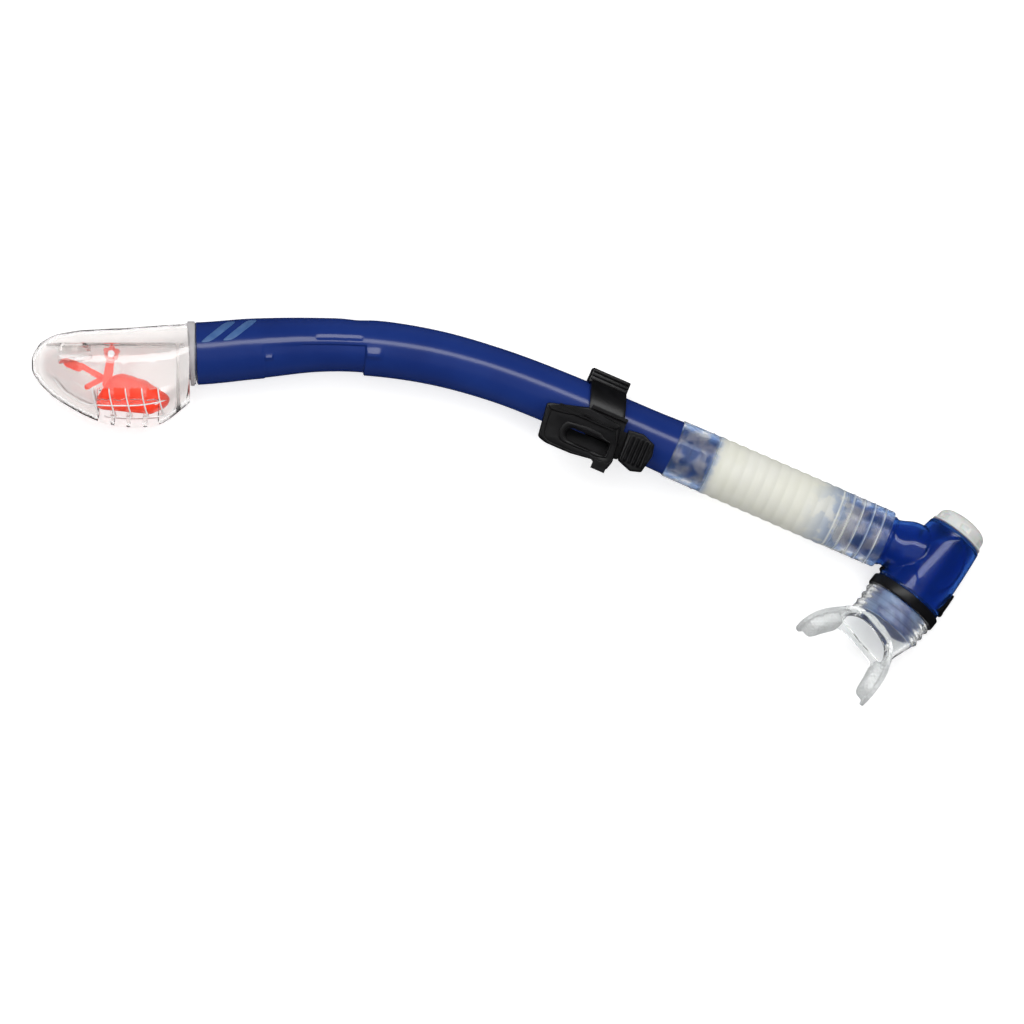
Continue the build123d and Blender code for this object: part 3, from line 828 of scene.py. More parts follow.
def neck_profile(shrink, start, stop):
    """Neck radius against distance along the hose: 12 in the hose, flaring as it meets the cone."""
    z = np.linspace(start, stop, 60)
    r = 12.0 - shrink + 2.6 * ramp(z, HOSE_LEN + 2, HOSE_LEN + 13)
    collar = 1.0 * np.exp(-(((z - HOSE_LEN - 1.4) / 0.9) ** 4)) if shrink == 0 else 0
    return to_axis(r + collar, z)


def make_chamber():
    """Outer skin and hollow, each fused from a cone and a neck, the hollow turned inwards."""
    body = spun("body", CHAMBER, cone_profile(0, -20.3, 20.4), swell=leaf)
    neck = spun("neck", HOSE, neck_profile(0, NECK_END, HOSE_LEN + 20))
    outer = fused("outer", [body, neck], 0.55, 3)
    hollow = spun("hollow", CHAMBER, cone_profile(2.0, -18.8, 19.0))
    bore = spun("bore", HOSE, neck_profile(1.8, NECK_END + 0.9, HOSE_LEN + 20))
    inner = fused("inner", [hollow, bore], 0.8, 2)
    inner.data.flip_normals()
    whole = joined("chamber", [outer, inner])
    smooth(whole.data, 60)
    return whole


finish_piece(make_chamber(), "pc_blue", "clear_blue", "chamber", "chamber_body")


# %% [markdown]
# ## The purge cap
# A waxy dome with six vents round its foot, spun about the chamber's axis. The dome is a quarter
# of a superellipse, so its shoulder is rounder than a circle's.

# %% Purge cap
VENTS, VENT_DEEP = 6, 0.8


def cap_vents(z, turn, radius):
    """Shallow vents round the cap's foot, none of them on its inside or its flat top."""
    around = np.abs(np.mod(turn * VENTS / (2 * np.pi), 1) - 0.5)
    high = ramp(z, 22.0, 22.8) * (1 - ramp(z, 24.6, 25.6))
    return -VENT_DEEP * (1 - ramp(around, 0.14, 0.2)) * high * (radius > 10)


def make_cap():
    """Foot, groove, dome and the hollow inside, as one closed profile."""
    a = np.linspace(0, np.pi / 2, 26)
    dome = np.stack([13.4 * np.cos(a) ** 0.55, 24.0 + 5.5 * np.sin(a) ** 0.9], -1)
    inside = np.stack([12.0 * np.cos(a[::-1]) ** 0.55, 23.0 + 5.0 * np.sin(a[::-1]) ** 0.9], -1)
    for curve in (dome, inside):
        curve[:, 0] = np.maximum(curve[:, 0], 0.35)
    foot = [(12.2, 18.6), (12.6, 18.6), (12.7, 20.5), (14.3, 20.6)]
    foot += [(14.5, 21.0), (14.3, 21.6), (13.5, 21.8)]
    foot += [(13.45, z) for z in np.linspace(22.0, 23.9, 14)]
    profile = np.concatenate([foot, dome, inside, [(12.15, 21.6)]])
    return turned("cap", CHAMBER, profile, 144, cap_vents)


finish_piece(make_cap(), "pp_milky", "milky_cap", "chamber", "purge_cap")


# %% [markdown]
# ## The collar and its latches
# A thin black ring holds the mouthpiece's swivel. Two triangular latches stand up from it on the
# cone. A latch is drawn flat as an outline, then wrapped at the cone's radius: the angle is the
# distance across divided by that radius.

# %% Collar ring with its latches
def polar(corners, centre, n, blur=3):
    """Outline as n points at even angles round a centre, with its corners slightly rounded.

    Each ray from the centre is crossed with every side; blurring the radii rounds the corners."""
    a = round_turn(n)
    way = np.stack([np.cos(a), np.sin(a)], -1)
    p = np.asarray(corners, float) - centre
    q = np.roll(p, -1, axis=0)
    e = q - p
    cross = way[:, None, 0] * e[None, :, 1] - way[:, None, 1] * e[None, :, 0]
    cross = np.where(np.abs(cross) < 1e-9, 1e-9, cross)
    t = (p[None, :, 0] * e[None, :, 1] - p[None, :, 1] * e[None, :, 0]) / cross
    s = (p[None, :, 0] * way[:, None, 1] - p[None, :, 1] * way[:, None, 0]) / cross
    hit = (s >= -1e-6) & (s <= 1 + 1e-6) & (t > 0)
    radius = np.where(hit, t, 0).max(1)
    for _ in range(blur):
        radius = 0.25 * np.roll(radius, 1) + 0.5 * radius + 0.25 * np.roll(radius, -1)
    return centre + way * radius[:, None]


LATCH_FOOT, LATCH_HALF, LATCH_LIFT = -16.5, 7.0, 1.6
LATCH_EDGE = np.array([(0, 0), (0, 0.9), (0.15, 1), (0.85, 1), (1, 0.9), (1, 0)])


def latch(turn, reach):
    """Triangular rim on the cone's side, with an open middle, that reaches up from its foot."""
    corners = np.array([(-LATCH_HALF, LATCH_FOOT), (LATCH_HALF, LATCH_FOOT), (0.0, LATCH_FOOT + reach)])
    outer = polar(corners, corners.mean(0), 180)
    inner = corners.mean(0) + (outer - corners.mean(0)) * 0.52
    flat = outer[None] + (inner - outer)[None] * LATCH_EDGE[:, :1, None]
    z = flat[..., 1]
    r = np.interp(z, CONE_Z, CONE_R) + 0.1 + LATCH_EDGE[:, 1:] * LATCH_LIFT
    angle = math.radians(turn) + flat[..., 0] / 17.0
    local = np.stack([r * np.cos(angle), r * np.sin(angle), z], -1)
    return skin("latch", CHAMBER.put(local), wrap_rows=True, soften=35)


ring = turned("ring", CHAMBER, rounded_section(18.45, 19.6, -25.0, -19.9, 0.5), 144)
lip = turned("lip", CHAMBER, rounded_section(16.1, 19.5, -25.1, -23.5, 0.4), 144)
collar = joined("collar", [ring, lip, latch(-12, 12.5), latch(168, 6.5)])
smooth(collar.data, 35)
finish_piece(collar, "nylon_black", "black_plastic", "chamber", "collar_ring")


# %% [markdown]
# ## The swivel
# A short barbed tube under the chamber, which the mouthpiece's boot grips. Its barbs are a cosine
# wave along it, squared and cut off below zero.

# %% Swivel tube
SWIVEL_ENDS = (-37.8, -23.1)
RIB_STEP = 4.2             # the boot's ribs have the same step as the barbs


def make_swivel():
    """The barbed outside, then the flange in the collar and the bore."""
    z = np.linspace(*SWIVEL_ENDS, 80)
    barbs = 15.25 + 0.35 * np.clip(np.cos((z + 35.0) / RIB_STEP * 2 * np.pi), 0, 1) ** 2
    rim = [(18.0, -22.8), (18.0, -21.0), (13.8, -21.0), (13.8, SWIVEL_ENDS[0])]
    return turned("swivel", CHAMBER, np.concatenate([np.stack([barbs, z], -1), rim]))


finish_piece(make_swivel(), "pvc_spigot", "blue_spigot", "mouth", "mouth_swivel")


# %% [markdown]
# ## The mouthpiece
# Soft silicone: a ribbed boot on the swivel, a short neck that turns oval, a lip flange that
# sweeps back on both sides, and two bite tabs inside it. The flange is a bent sheet: its sweep is
# the fourth power of the distance from the middle. All forms are fused, then the channel is cut.

# %% Mouthpiece
WING_DEEP, WING_HALF, LIP_T = 28.0, 26.0, 2.2
OVAL = (14.5, 8.5)
BOOT_TOP, BOOT_END = -25.6, -37.5
BOOT_BORE = 15.75


def section_between(t, grow):
    """Rings that change from the boot's circle to the mouth's oval; t runs from 0 to 1, and the
    share of the oval is three t squared less two t cubed."""
    t = np.asarray(t, float)[:, None, None]
    a = round_turn(96)
    down = -CHAMBER.z
    x_side = unit(MOUTH.x - np.dot(MOUTH.x, down) * down)
    y_side = np.cross(down, x_side)
    circle = np.cos(a)[:, None] * x_side + np.sin(a)[:, None] * y_side
    start = CHAMBER.put([0, 0, -36.0]) + (15.9 + grow) * MM * circle
    end = MOUTH.o + MM * ((OVAL[0] + grow) * np.cos(a)[:, None] * MOUTH.x
                          + (OVAL[1] + grow) * np.sin(a)[:, None] * MOUTH.y)
    ease = 3 * t**2 - 2 * t**3
    return start[None] * (1 - ease) + end[None] * ease


def oval(name, grow, depths):
    """Straight oval form in the mouth, through the given depths."""
    a = round_turn(96)[None, :]
    across, up = (OVAL[0] + grow) * np.cos(a), (OVAL[1] + grow) * np.sin(a)
    return skin(name, MOUTH.put(np.stack(np.broadcast_arrays(across, up, np.array(depths)[:, None]), -1)))


def wing_height(deep):
    """Half height of the flange against its depth: full in the middle, waisted, then a round end."""
    waist = 12.8 - 3.4 * ramp(deep, 0.0, 9.0) + 1.2 * ramp(deep, 9.0, 16.0)
    tip = np.clip((deep - 0.66 * WING_DEEP) / (0.34 * WING_DEEP), 0, 1)
    return waist * np.sqrt(np.clip(1 - 0.93 * tip**2.6, 0, 1))


def lip_sheet():
    """Bent flange: w across, v up and down; its depth is WING_DEEP times |w| to the fourth power."""
    u = np.linspace(-1, 1, 241)[:, None]
    v = np.linspace(-1, 1, 41)[None, :]
    w = np.sign(u) * np.abs(u) ** 0.62
    deep = WING_DEEP * np.abs(w) ** 4
    tall = wing_height(deep)
    front = np.stack([WING_HALF * w + 0 * v, tall * v, deep + 0 * v], -1)
    shrink = 1 - LIP_T / WING_HALF
    back = np.stack([WING_HALF * shrink * w + 0 * v, 0.97 * tall * v,
                     0.985 * deep + LIP_T * (1 - 0.6 * np.abs(w) ** 6) + 0 * v], -1)
    loop = np.concatenate([front, back[:, ::-1]], axis=1)
    return skin("lip_sheet", MOUTH.put(loop))


def bite_tab(side):
    """Pad on the inside of a wing: a rounded block that follows the wing's curve."""
    u = np.linspace(-1, 1, 40)[:, None]
    a = round_turn(48)[None, :]
    z = 17.5 + 8.6 * u
    end = (1 - np.abs(u) ** 6) ** 0.5
    thick = 3.9 * np.sign(np.cos(a)) * np.abs(np.cos(a)) ** 0.6 * (0.3 + 0.7 * end)
    tall = 7.6 * np.sign(np.sin(a)) * np.abs(np.sin(a)) ** 0.6 * (0.3 + 0.7 * end)
    wing = WING_HALF * (np.clip(z, 0, None) / WING_DEEP) ** 0.25
    x = side * (wing - 4.5 + thick)
    return skin("tab", MOUTH.put(np.stack([x + 0 * a, tall + 0 * u, z + 0 * a], -1)))


def boot_ribs():
    """Boot on the swivel: three round ribs on a tube that narrows to the neck."""
    z = np.linspace(BOOT_END, BOOT_TOP, 120)
    rib = np.cos((z + 27.4) / RIB_STEP * 2 * np.pi)
    return to_axis(np.interp(z, [BOOT_END, BOOT_TOP], [17.9, 18.5]) + 0.75 * rib, z)


def coordinates(mesh):
    """Every vertex's place, as one array."""
    co = np.zeros(len(mesh.vertices) * 3, np.float32)
    mesh.vertices.foreach_get("co", co)
    return co.reshape(-1, 3).astype(float)


def make_mouthpiece():
    """Forms fused, the channel cut through them, and the cut edges relaxed by fusing again."""
    boot = spun("boot", CHAMBER, boot_ribs())
    neck = skin("neck", section_between(np.linspace(0, 1, 24), 2.0))
    pad = oval("pad", 2.2, (-1.5, 0.8, 2.2))
    outer = fused("mouthpiece", [boot, neck, pad, lip_sheet(), bite_tab(1), bite_tab(-1)], 0.5, 2)
    in_boot = [(BY_AXIS, -20), (BOOT_BORE, -20), (BOOT_BORE, -36.4), (BY_AXIS, -36.4)]
    cut(outer, spun("bore", CHAMBER, in_boot))
    cut(outer, skin("channel", section_between(np.linspace(0, 1, 24), -0.2)))
    cut(outer, oval("throat", 0.0, (-3.0, 8.0)))
    piece = fused("mouthpiece_silicone", [outer], 0.5, 2)
    x, _, depth = MOUTH.take(coordinates(piece.data)).T
    inner = np.abs(x) < WING_HALF * (np.clip(depth, 0.1, None) / WING_DEEP) ** 0.25 - 2.0
    bite = np.maximum(ramp(depth, 8, 11) * inner, 0.6 * ramp(depth, 3, 9))
    mark = piece.data.attributes.new("bite", "FLOAT", "POINT")
    mark.data.foreach_set("value", bite.astype(np.float32))
    return piece


finish_piece(make_mouthpiece(), "silicone_clear", "mouth_silicone", "mouth", "mouthpiece")


# %% [markdown]
# ## The head
# A clear shark-nosed cowl, taller on the belly side, with a cage of slots under the float. The
# outer form is a stack of rounded sections; grid cells inside the slots are left out, and the
# wall gets its thickness afterwards.

# %% Head shell
HEAD = np.array([          # x, top, belly, half depth
    (-237.3, 77.14, 71.14, 3.4),
    (-234.9, 82.14, 66.54, 8.2),
    (-229.2, 86.84, 60.04, 12.8),
    (-218.7, 89.94, 52.74, 16.8),
    (-203.7, 91.34, 45.54, 19.2),
    (-187.7, 92.24, 42.84, 19.5),
    (-172.7, 93.34, 45.14, 19.0),
    (-159.7, 94.34, 55.04, 17.2),
])
HEAD_POWER = 0.88          # 1 is an ellipse; less is squarer
HEAD_WALL = 1.7
SLOT_STEP, SLOT_WIDE = 8.0, 6.0
SLOTS_X = -204.7 + SLOT_STEP * np.arange(4)


def head_at(x):
    """Top, belly and half depth at x, from smooth curves that start steeply at the nose."""
    curves = []
    for values in HEAD[:, 1:].T:
        slopes = np.gradient(values, HEAD[:, 0])
        slopes[0] *= 1.6
        curves.append(cubic(HEAD[:, 0], values, slopes, x))
    return curves


def head_grid(rows=150, columns=160):
    """Superellipse sections along x, closer together at the nose."""
    x = HEAD[0, 0] + np.linspace(0, 1, rows) ** 1.35 * (HEAD[-1, 0] - HEAD[0, 0])
    top, low, deep = head_at(x)
    a = round_turn(columns)[None, :]
    y_way = np.sign(np.sin(a)) * np.abs(np.sin(a)) ** HEAD_POWER
    z_way = np.sign(np.cos(a)) * np.abs(np.cos(a)) ** HEAD_POWER
    y = ((top + low) / 2)[:, None] + ((top - low) / 2)[:, None] * y_way
    return np.stack([x[:, None] + 0 * a, y, LIE / MM + deep[:, None] * z_way], -1)


def in_slots(x, y, z):
    """True in the belly's windows: rows of them between cross ribs, beside a keel and side ribs."""
    across = np.zeros(x.shape, bool)
    for x0 in SLOTS_X:
        across |= (x > x0) & (x < x0 + SLOT_WIDE)
    from_middle = np.abs(z - LIE / MM)
    return across & (y < 61.6) & ((y < 54.0) | (y > 55.8)) & (from_middle > 1.2)


def make_head():
    """The sections joined but for the slots, closed at the nose, and given a wall."""
    grid = head_grid()
    rows, columns = grid.shape[:2]
    faces = np.array(grid_faces(rows, columns, cap=False))
    flat = grid.reshape(-1, 3)
    middle = flat[faces].mean(1)
    keep = ~in_slots(middle[:, 0], middle[:, 1], middle[:, 2])
    faces = faces[keep].tolist() + [list(range(columns))]
    shell = mesh_of("head_cowl", flat * MM, faces, 50)
    wall = shell.modifiers.new("wall", "SOLIDIFY")
    wall.thickness = HEAD_WALL * MM
    wall.offset = -1
    applied(shell)
    smooth(shell.data, 50)
    return shell


finish_piece(make_head(), "pc_clear", "clear_shell", "barrel", "head_shell")


# %% [markdown]
# ## The float
# A hollow orange boat on a bell crank. The boat is a pillow: its outline, scaled down towards
# both faces by a superellipse, so the middle is full and the rim is round.

# %% Float
FLOAT = np.array([
    (-205.9, 56.74), (-198.7, 68.04), (-192.7, 69.54), (-181.2, 66.04),
    (-169.2, 58.04), (-169.9, 53.54), (-178.7, 49.34), (-205.1, 51.94),
])
FLOAT_HALF = 8.2


def make_float():
    """The outline at 41 heights, scaled by a power of the cosine and never quite to nothing."""
    centre = FLOAT.mean(0)
    outline = polar(FLOAT, centre, 160, blur=5) - centre
    a = np.linspace(-1, 1, 41) * (np.pi / 2)
    scale = np.maximum(np.maximum(np.cos(a), 0.0) ** 0.55, 0.02)
    z = FLOAT_HALF * np.sign(np.sin(a)) * np.abs(np.sin(a)) ** 0.8
    flat = centre + outline[None] * scale[:, None, None]
    grid = np.concatenate([flat, (LIE / MM + z)[:, None, None] + 0 * flat[..., :1]], -1)
    return skin("float_boat", grid * MM, soften=60)


finish_piece(make_float(), "abs_orange", "orange_plastic", "float_arm", "float_body")

for node, finish in (("seal_flap", "silicone_clear"), ("valve_frame", "pc_clear"),
                     ("float_pivot_pin", "steel"), ("purge_seat", "pc_clear"),
                     ("purge_diaphragm", "silicone_clear")):
    repaint(node, finish)


# %% [markdown]
# ## Collar and gasket under the head
# Both are rings about the barrel's upper end. The collar's upper edge leans: it reaches further
# up the head on the far side than on the near one.

# %% Head collar and gasket
HEAD_LINE = Line(np.array([*STATIONS[0, :2], LIE / MM]) * MM, (1, 0, 0), (0, 1, 0))
COLLAR_BORE = 13.15


def make_head_collar():
    """A rounded section whose upper edge moves with the turn and whose lower edge stays level."""
    section = rounded_section(COLLAR_BORE, 15.95, -1.0, 1.0, 0.35)
    turn = round_turn(144)[None, :]
    radius = section[:, :1] + 0 * turn
    upper = -3.6 - 0.9 * np.cos(turn)
    z = upper + (section[:, 1:] + 1) / 2 * (-0.75 - upper)
    local = np.stack([radius * np.cos(turn), radius * np.sin(turn), z], -1)
    return skin("head_collar_ring", HEAD_LINE.put(local), wrap_rows=True)


finish_piece(make_head_collar(), "pc_frosted", "frosted_collar", "barrel", "head_collar")
gasket_section = rounded_section(COLLAR_BORE, 15.2, -0.72, -0.04, 0.2)
gasket = turned("head_gasket_ring", HEAD_LINE, gasket_section)
finish_piece(gasket, "silicone_clear", "clear_silicone", "barrel", "head_gasket")


# %% [markdown]
# ## Ribs of the cage
# Beads lie on the cowl's skin. Each is a path in x and y, lifted to where the skin is: the half
# depth times what the superellipse leaves there.

# %% Cage ribs
BEAD_R = 0.36


def on_head(x, y):
    """How far the cowl's skin stands from its middle plane at x, y."""
    top, low, deep = head_at(x)
    share = np.clip(np.abs(2 * y - top - low) / (top - low), 0, 1)
    return deep * (1 - share ** (2 / HEAD_POWER)) ** (HEAD_POWER / 2)


def rope(name, path, radius, columns=10):
    """Round bead of a given radius along a path of points in millimetres, its ends tapered shut."""
    path = np.asarray(path, float)
    along = unit_rows(np.gradient(path, axis=0))
    side = unit_rows(np.cross(along, UP + 1e-4))
    other = np.cross(along, side)
    turn = round_turn(columns)
    end = np.minimum(np.arange(len(path)), np.arange(len(path))[::-1])
    r = radius * np.clip(0.15 + 0.5 * end, 0, 1)
    ring = np.cos(turn)[None, :, None] * side[:, None] + np.sin(turn)[None, :, None] * other[:, None]
    return skin(name, (path[:, None] + r[:, None, None] * ring) * MM, soften=60)


def make_cage_ribs():
    """A long keel curve, a lower one and five cross ribs between the slots, on both sides."""
    x = np.linspace(-227.0, -171.0, 60)
    keel = 53.2 + 13.4 * ((-x - 190) / 36).clip(0) ** 4.2 + 0.008 * (x + 190).clip(0) ** 2
    runs = [(x, keel)]
    x = np.linspace(-202.0, -170.0, 40)
    runs.append((x, 47.4 + 0.0045 * (x + 187) ** 2))
    for k in range(5):
        y = np.linspace(62.0, 46.8 + 0.8 * abs(k - 2), 30)
        x = SLOTS_X[0] - 1 + SLOT_STEP * k + 3.4 * ((62.0 - y) / 15) ** 1.6 - 1.4
        runs.append((x, y))
    beads = []
    for side in (1, -1):
        for x, y in runs:
            z = LIE / MM + side * (on_head(x, y) - 0.25)
            beads.append(rope("rib", np.column_stack([x, y, z]), BEAD_R))
    return joined("cage_ribs", beads)


# The ribs' white finish is a painted highlight for the bright lines on the clear cage.
finish_piece(make_cage_ribs(), "pc_ridge_painted_highlight", "clear_shell", "barrel")


# %% [markdown]
# ## The keeper
# Black nylon: a band round the tube with a box-like hook on top, a plate with the strap slot, and
# a ribbed thumb piece. Flat mouldings are outlines with a rounded edge: a section runs from the
# outer outline over the top to the slot's outline and back underneath.

# %% Flat mouldings
def ring_plate(line, outer, inner, z0, z1, edge=0.6, name="plate"):
    """Plate between two outlines with the same number of points, its four edges rounded."""
    gap = inner - outer
    wide = np.linalg.norm(gap, axis=1, keepdims=True)
    way = gap / wide
    q = np.linspace(0, np.pi / 2, 4)
    inward = edge * (1 - np.cos(q))
    top, foot = z1 - edge + edge * np.sin(q), z0 + edge - edge * np.sin(q)
    inward = np.concatenate([inward, -inward[::-1], -inward, inward[::-1]])
    height = np.concatenate([top, top[::-1], foot, foot[::-1]])
    at_inner = np.repeat([0, 1, 1, 0], len(q))
    inward, height, at_inner = (v[:, None, None] for v in (inward, height, at_inner))
    flat = outer[None] + way[None] * (inward + at_inner * wide[None])
    local = np.concatenate([flat, height + 0 * flat[..., :1]], -1)
    return skin(name, line.put(local), wrap_rows=True, soften=35)


def pad_plate(line, outer, z0, z1, edge=0.7, ridges=None, name="pad"):
    """Solid plate: rings of the outline shrinking to its middle, with an optional relief on top."""
    centre = outer.mean(0)
    wide = np.linalg.norm(outer - centre, axis=1, keepdims=True)
    way = (centre - outer) / wide
    flat, height = [], []
    for s in np.linspace(0, np.pi / 2, 5):
        flat.append(outer + way * (edge * (1 - np.sin(s))))
        height.append(z0 + edge - edge * np.cos(s) + 0 * outer[:, 0])
    for s in np.linspace(0, np.pi / 2, 5):
        flat.append(outer + way * (edge * (1 - np.cos(s))))
        height.append(z1 - edge + edge * np.sin(s) + 0 * outer[:, 0])
    for share in np.linspace(0.03, 0.985, 36):
        ring = outer + way * (edge + share * (wide - edge))
        flat.append(ring)
        height.append(z1 + (ridges(ring) if ridges else 0) + 0 * ring[:, 0])
    flat, height = np.array(flat), np.array(height)
    return skin(name, line.put(np.concatenate([flat, height[..., None]], -1)))


print("flat mouldings ready")


# %% [markdown]
# ### The strap's buckle
# A thick plate with a slot and a raised rim round it, under which a bar stands on two posts. Two
# fine lines, a shelf and a claw finish it.

# %% Strap buckle
BUCKLE = np.array([
    (-34.0, -5.0), (-33.0, -12.0), (-31.5, -22.3), (-27.0, -23.6), (-13.6, -23.6), (-2.0, -22.0),
    (0.0, -24.6), (5.8, -24.2), (7.2, -19.5), (6.4, -12.0), (4.4, -1.2), (-14.0, 0.8),
])
SLOT = np.array([
    (-17.0, -18.5), (2.4, -18.5), (2.4, -11.5), (-17.0, -11.5),
    (-19.0, -12.8), (-19.8, -15.0), (-19.0, -17.2),
])
SHELF = np.array([(-33.4, -5.6), (-14.0, 0.4), (3.8, -1.6), (3.4, -4.8), (-14.0, -3.4), (-31.0, -8.6)])
BUCKLE_AT = np.array([-9.0, -14.6])
PLATE_Z = (19.6, 24.2)
BAR_Y, BAR_Z, POST_Z = (-18.2, -12.0), (14.9, 16.7), (16.4, 20.2)


def block(x, y, z):
    """Rounded block on the keeper's axes between pairs of limits."""
    corners = np.array([(x[0], y[0]), (x[1], y[0]), (x[1], y[1]), (x[0], y[1])], float)
    sides = zip(corners, np.roll(corners, -1, 0))
    points = np.concatenate([np.linspace(p, q, 12, endpoint=False) for p, q in sides])
    return pad_plate(KEEPER, points, z[0], z[1], min(0.3, (z[1] - z[0]) / 3), name="block")


def make_buckle():
    """Plate, rims, shelf, claw, bar, posts and lines as one piece."""
    base, top = PLATE_Z
    outer = polar(BUCKLE, BUCKLE_AT, 320, blur=4)
    slot = polar(SLOT, BUCKLE_AT, 320, blur=10)
    parts = [ring_plate(KEEPER, outer, slot, base, top, edge=0.7)]
    for far, near, low, high, edge in ((0.26, 0.08, 0.5, 0.7, 0.35), (0.93, 0.8, 0.5, 0.5, 0.3)):
        parts.append(ring_plate(KEEPER, slot + (outer - slot) * far, slot + (outer - slot) * near,
                                top - low, top + high, edge=edge))
    shelf = polar(SHELF, SHELF.mean(0), 200)
    parts.append(pad_plate(KEEPER, shelf, top - 0.6, top + 1.1, edge=0.4))
    parts.append(block((-1.6, 5.4), (-26.0, -21.5), (base + 0.4, top + 0.6)))
    parts.append(block((-22.0, 4.6), BAR_Y, BAR_Z))
    parts.append(block((-22.0, -20.2), BAR_Y, POST_Z))
    parts.append(block((2.8, 4.6), BAR_Y, POST_Z))
    for y in (-3.4, -5.2):
        parts.append(block((-28.0, 2.0), (y, y + 0.7), (top + 0.8, top + 1.5)))
    buckle = joined("buckle_plate", parts)
    smooth(buckle.data, 35)
    return buckle


finish_piece(make_buckle(), "nylon_black", "black_plastic", "buckle", "strap_buckle")


# %% [markdown]
# ### The release
# The thumb piece is a pad whose top rises and falls as a cosine wave. Under it a coil of wire
# pushes back.

# %% Thumb piece and spring
GRIP = np.array([
    (8.4, -1.6), (16.0, -0.6), (23.0, -3.4), (24.2, -9.0), (22.2, -18.4), (17.0, -20.0), (9.4, -17.4),
])
RIDGE_STEP, RIDGE_HIGH = 2.4, 0.9
PRESS_AT = (15.5, -9.8)    # the spring's middle on the keeper's axes
SPRING_Z = (17.4, 19.5)
COIL_R, WIRE_R, COIL_TURNS = 2.15, 0.22, 3.5


def thumb_ridges(p):
    """Five ridges across the thumb's push, dying away before the edge."""
    crest = 0.5 + 0.5 * np.cos((p[:, 0] - 12.0) / RIDGE_STEP * 2 * np.pi)
    inside = ramp(p[:, 0], 9.6, 10.8) * (1 - ramp(p[:, 0], 21.2, 22.4))
    inside = inside * ramp(p[:, 1], -17.2, -16.0) * (1 - ramp(p[:, 1], -4.4, -3.2))
    return RIDGE_HIGH * crest**1.5 * inside


grip = pad_plate(KEEPER, polar(GRIP, GRIP.mean(0), 260), 19.6, 24.9, 0.9, thumb_ridges, "thumb_piece")
finish_piece(grip, "nylon_black", "black_plastic", "release", "release_button")


def make_spring():
    """Round wire wound from the tongue up to the thumb piece."""
    t = np.linspace(0, 1, 160)
    turn = 2 * np.pi * COIL_TURNS * t
    rise = SPRING_Z[0] + 0.25 + (SPRING_Z[1] - SPRING_Z[0] - 0.5) * t
    path = np.stack([PRESS_AT[0] + COIL_R * np.cos(turn), PRESS_AT[1] + COIL_R * np.sin(turn), rise], -1)
    return rope("release_coil", KEEPER.put(path) / MM, WIRE_R)


coil = finish_piece(make_spring(), "steel", "steel_pin", "keeper", "release_spring")
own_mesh(coil)


# %% [markdown]
# ### Band, hook and foot
# The band is a ring whose two edges lean, so it sits further down the tube on its low side. The
# hook is a channel drawn out along the tube, and the foot is the flat on which the keeper lies.

# %% Band, hook and foot
def make_band():
    """Ring round the tube: its middle moves along with the sine of the turn."""
    section = rounded_section(14.05, 16.75, -1.0, 1.0, 0.5)
    turn = round_turn(160)[None, :]
    r = section[:, :1] + 0 * turn
    x = -3.6 - 4.6 * np.sin(turn) + 9.4 * section[:, 1:]
    return skin("band", KEEPER.put(np.stack([x, r * np.sin(turn), r * np.cos(turn)], -1)),
                wrap_rows=True, soften=35)


def corners_of(x0, x1, half0, half1):
    """Four corners, half0 either side of the middle at x0 and half1 at x1."""
    return np.array([(x0, -half0), (x1, -half1), (x1, half1), (x0, half0)])


def make_hook():
    """Channel section drawn out along the band's top, with three ridges on its side."""
    side = Line(KEEPER.put([-18.6, 0, 0]), KEEPER.x, KEEPER.y)
    corners = corners_of(13.4, 20.9, 7.4, 6.2)
    outer = polar(corners, corners.mean(0), 200, blur=4)
    inner = corners.mean(0) + (outer - corners.mean(0)) * 0.66
    parts = [ring_plate(side, outer, inner, 0.0, 20.2, 0.6, "hook")]
    for low in (14.9, 17.0, 19.1):
        corners = np.array([(low, 5.6), (low + 1.1, 5.6), (low + 1.1, 7.9), (low, 7.9)])
        parts.append(pad_plate(side, polar(corners, corners.mean(0), 60), 0.6, 19.6, 0.3, name="ridge"))
    return parts


corners = corners_of(-13.4, 7.9, 4.4, 4.4)
outline = polar(corners, corners.mean(0), 200)
foot = pad_plate(KEEPER, outline, -LIE / MM + 0.02, -14.6, 0.6, name="foot")
band_piece = joined("keeper_band_piece", [make_band(), foot] + make_hook())
smooth(band_piece.data, 35)
finish_piece(band_piece, "nylon_black", "black_plastic", "keeper", "keeper_band")
repaint("keeper_base", "nylon_black")


# %% [markdown]
# ## The float's lever
# The bell crank under the float is built with the same flat mouldings: round-ended bars from one
# point to another, round a hub that turns on the float's pivot.

# %% Float lever
PIVOT = np.array(JOINT["float_pivot"]["pos_m"])[:2] / MM
FLAT = Line((0, 0, LIE), UP, (1, 0, 0))


def arm(p, q, wide, half_z):
    """Flat bar with round ends from p to q."""
    p, q = np.array(p, float), np.array(q, float)
    way = unit(q - p)
    across = np.array([-way[1], way[0]])
    a = np.linspace(-np.pi / 2, np.pi / 2, 14)[:, None]
    half = wide / 2
    far = q + half * (np.cos(a) * way + np.sin(a) * across)
    near = p - half * (np.cos(a) * way + np.sin(a) * across)
    return pad_plate(FLAT, np.concatenate([far, near]), -half_z, half_z, 0.35, name="arm")


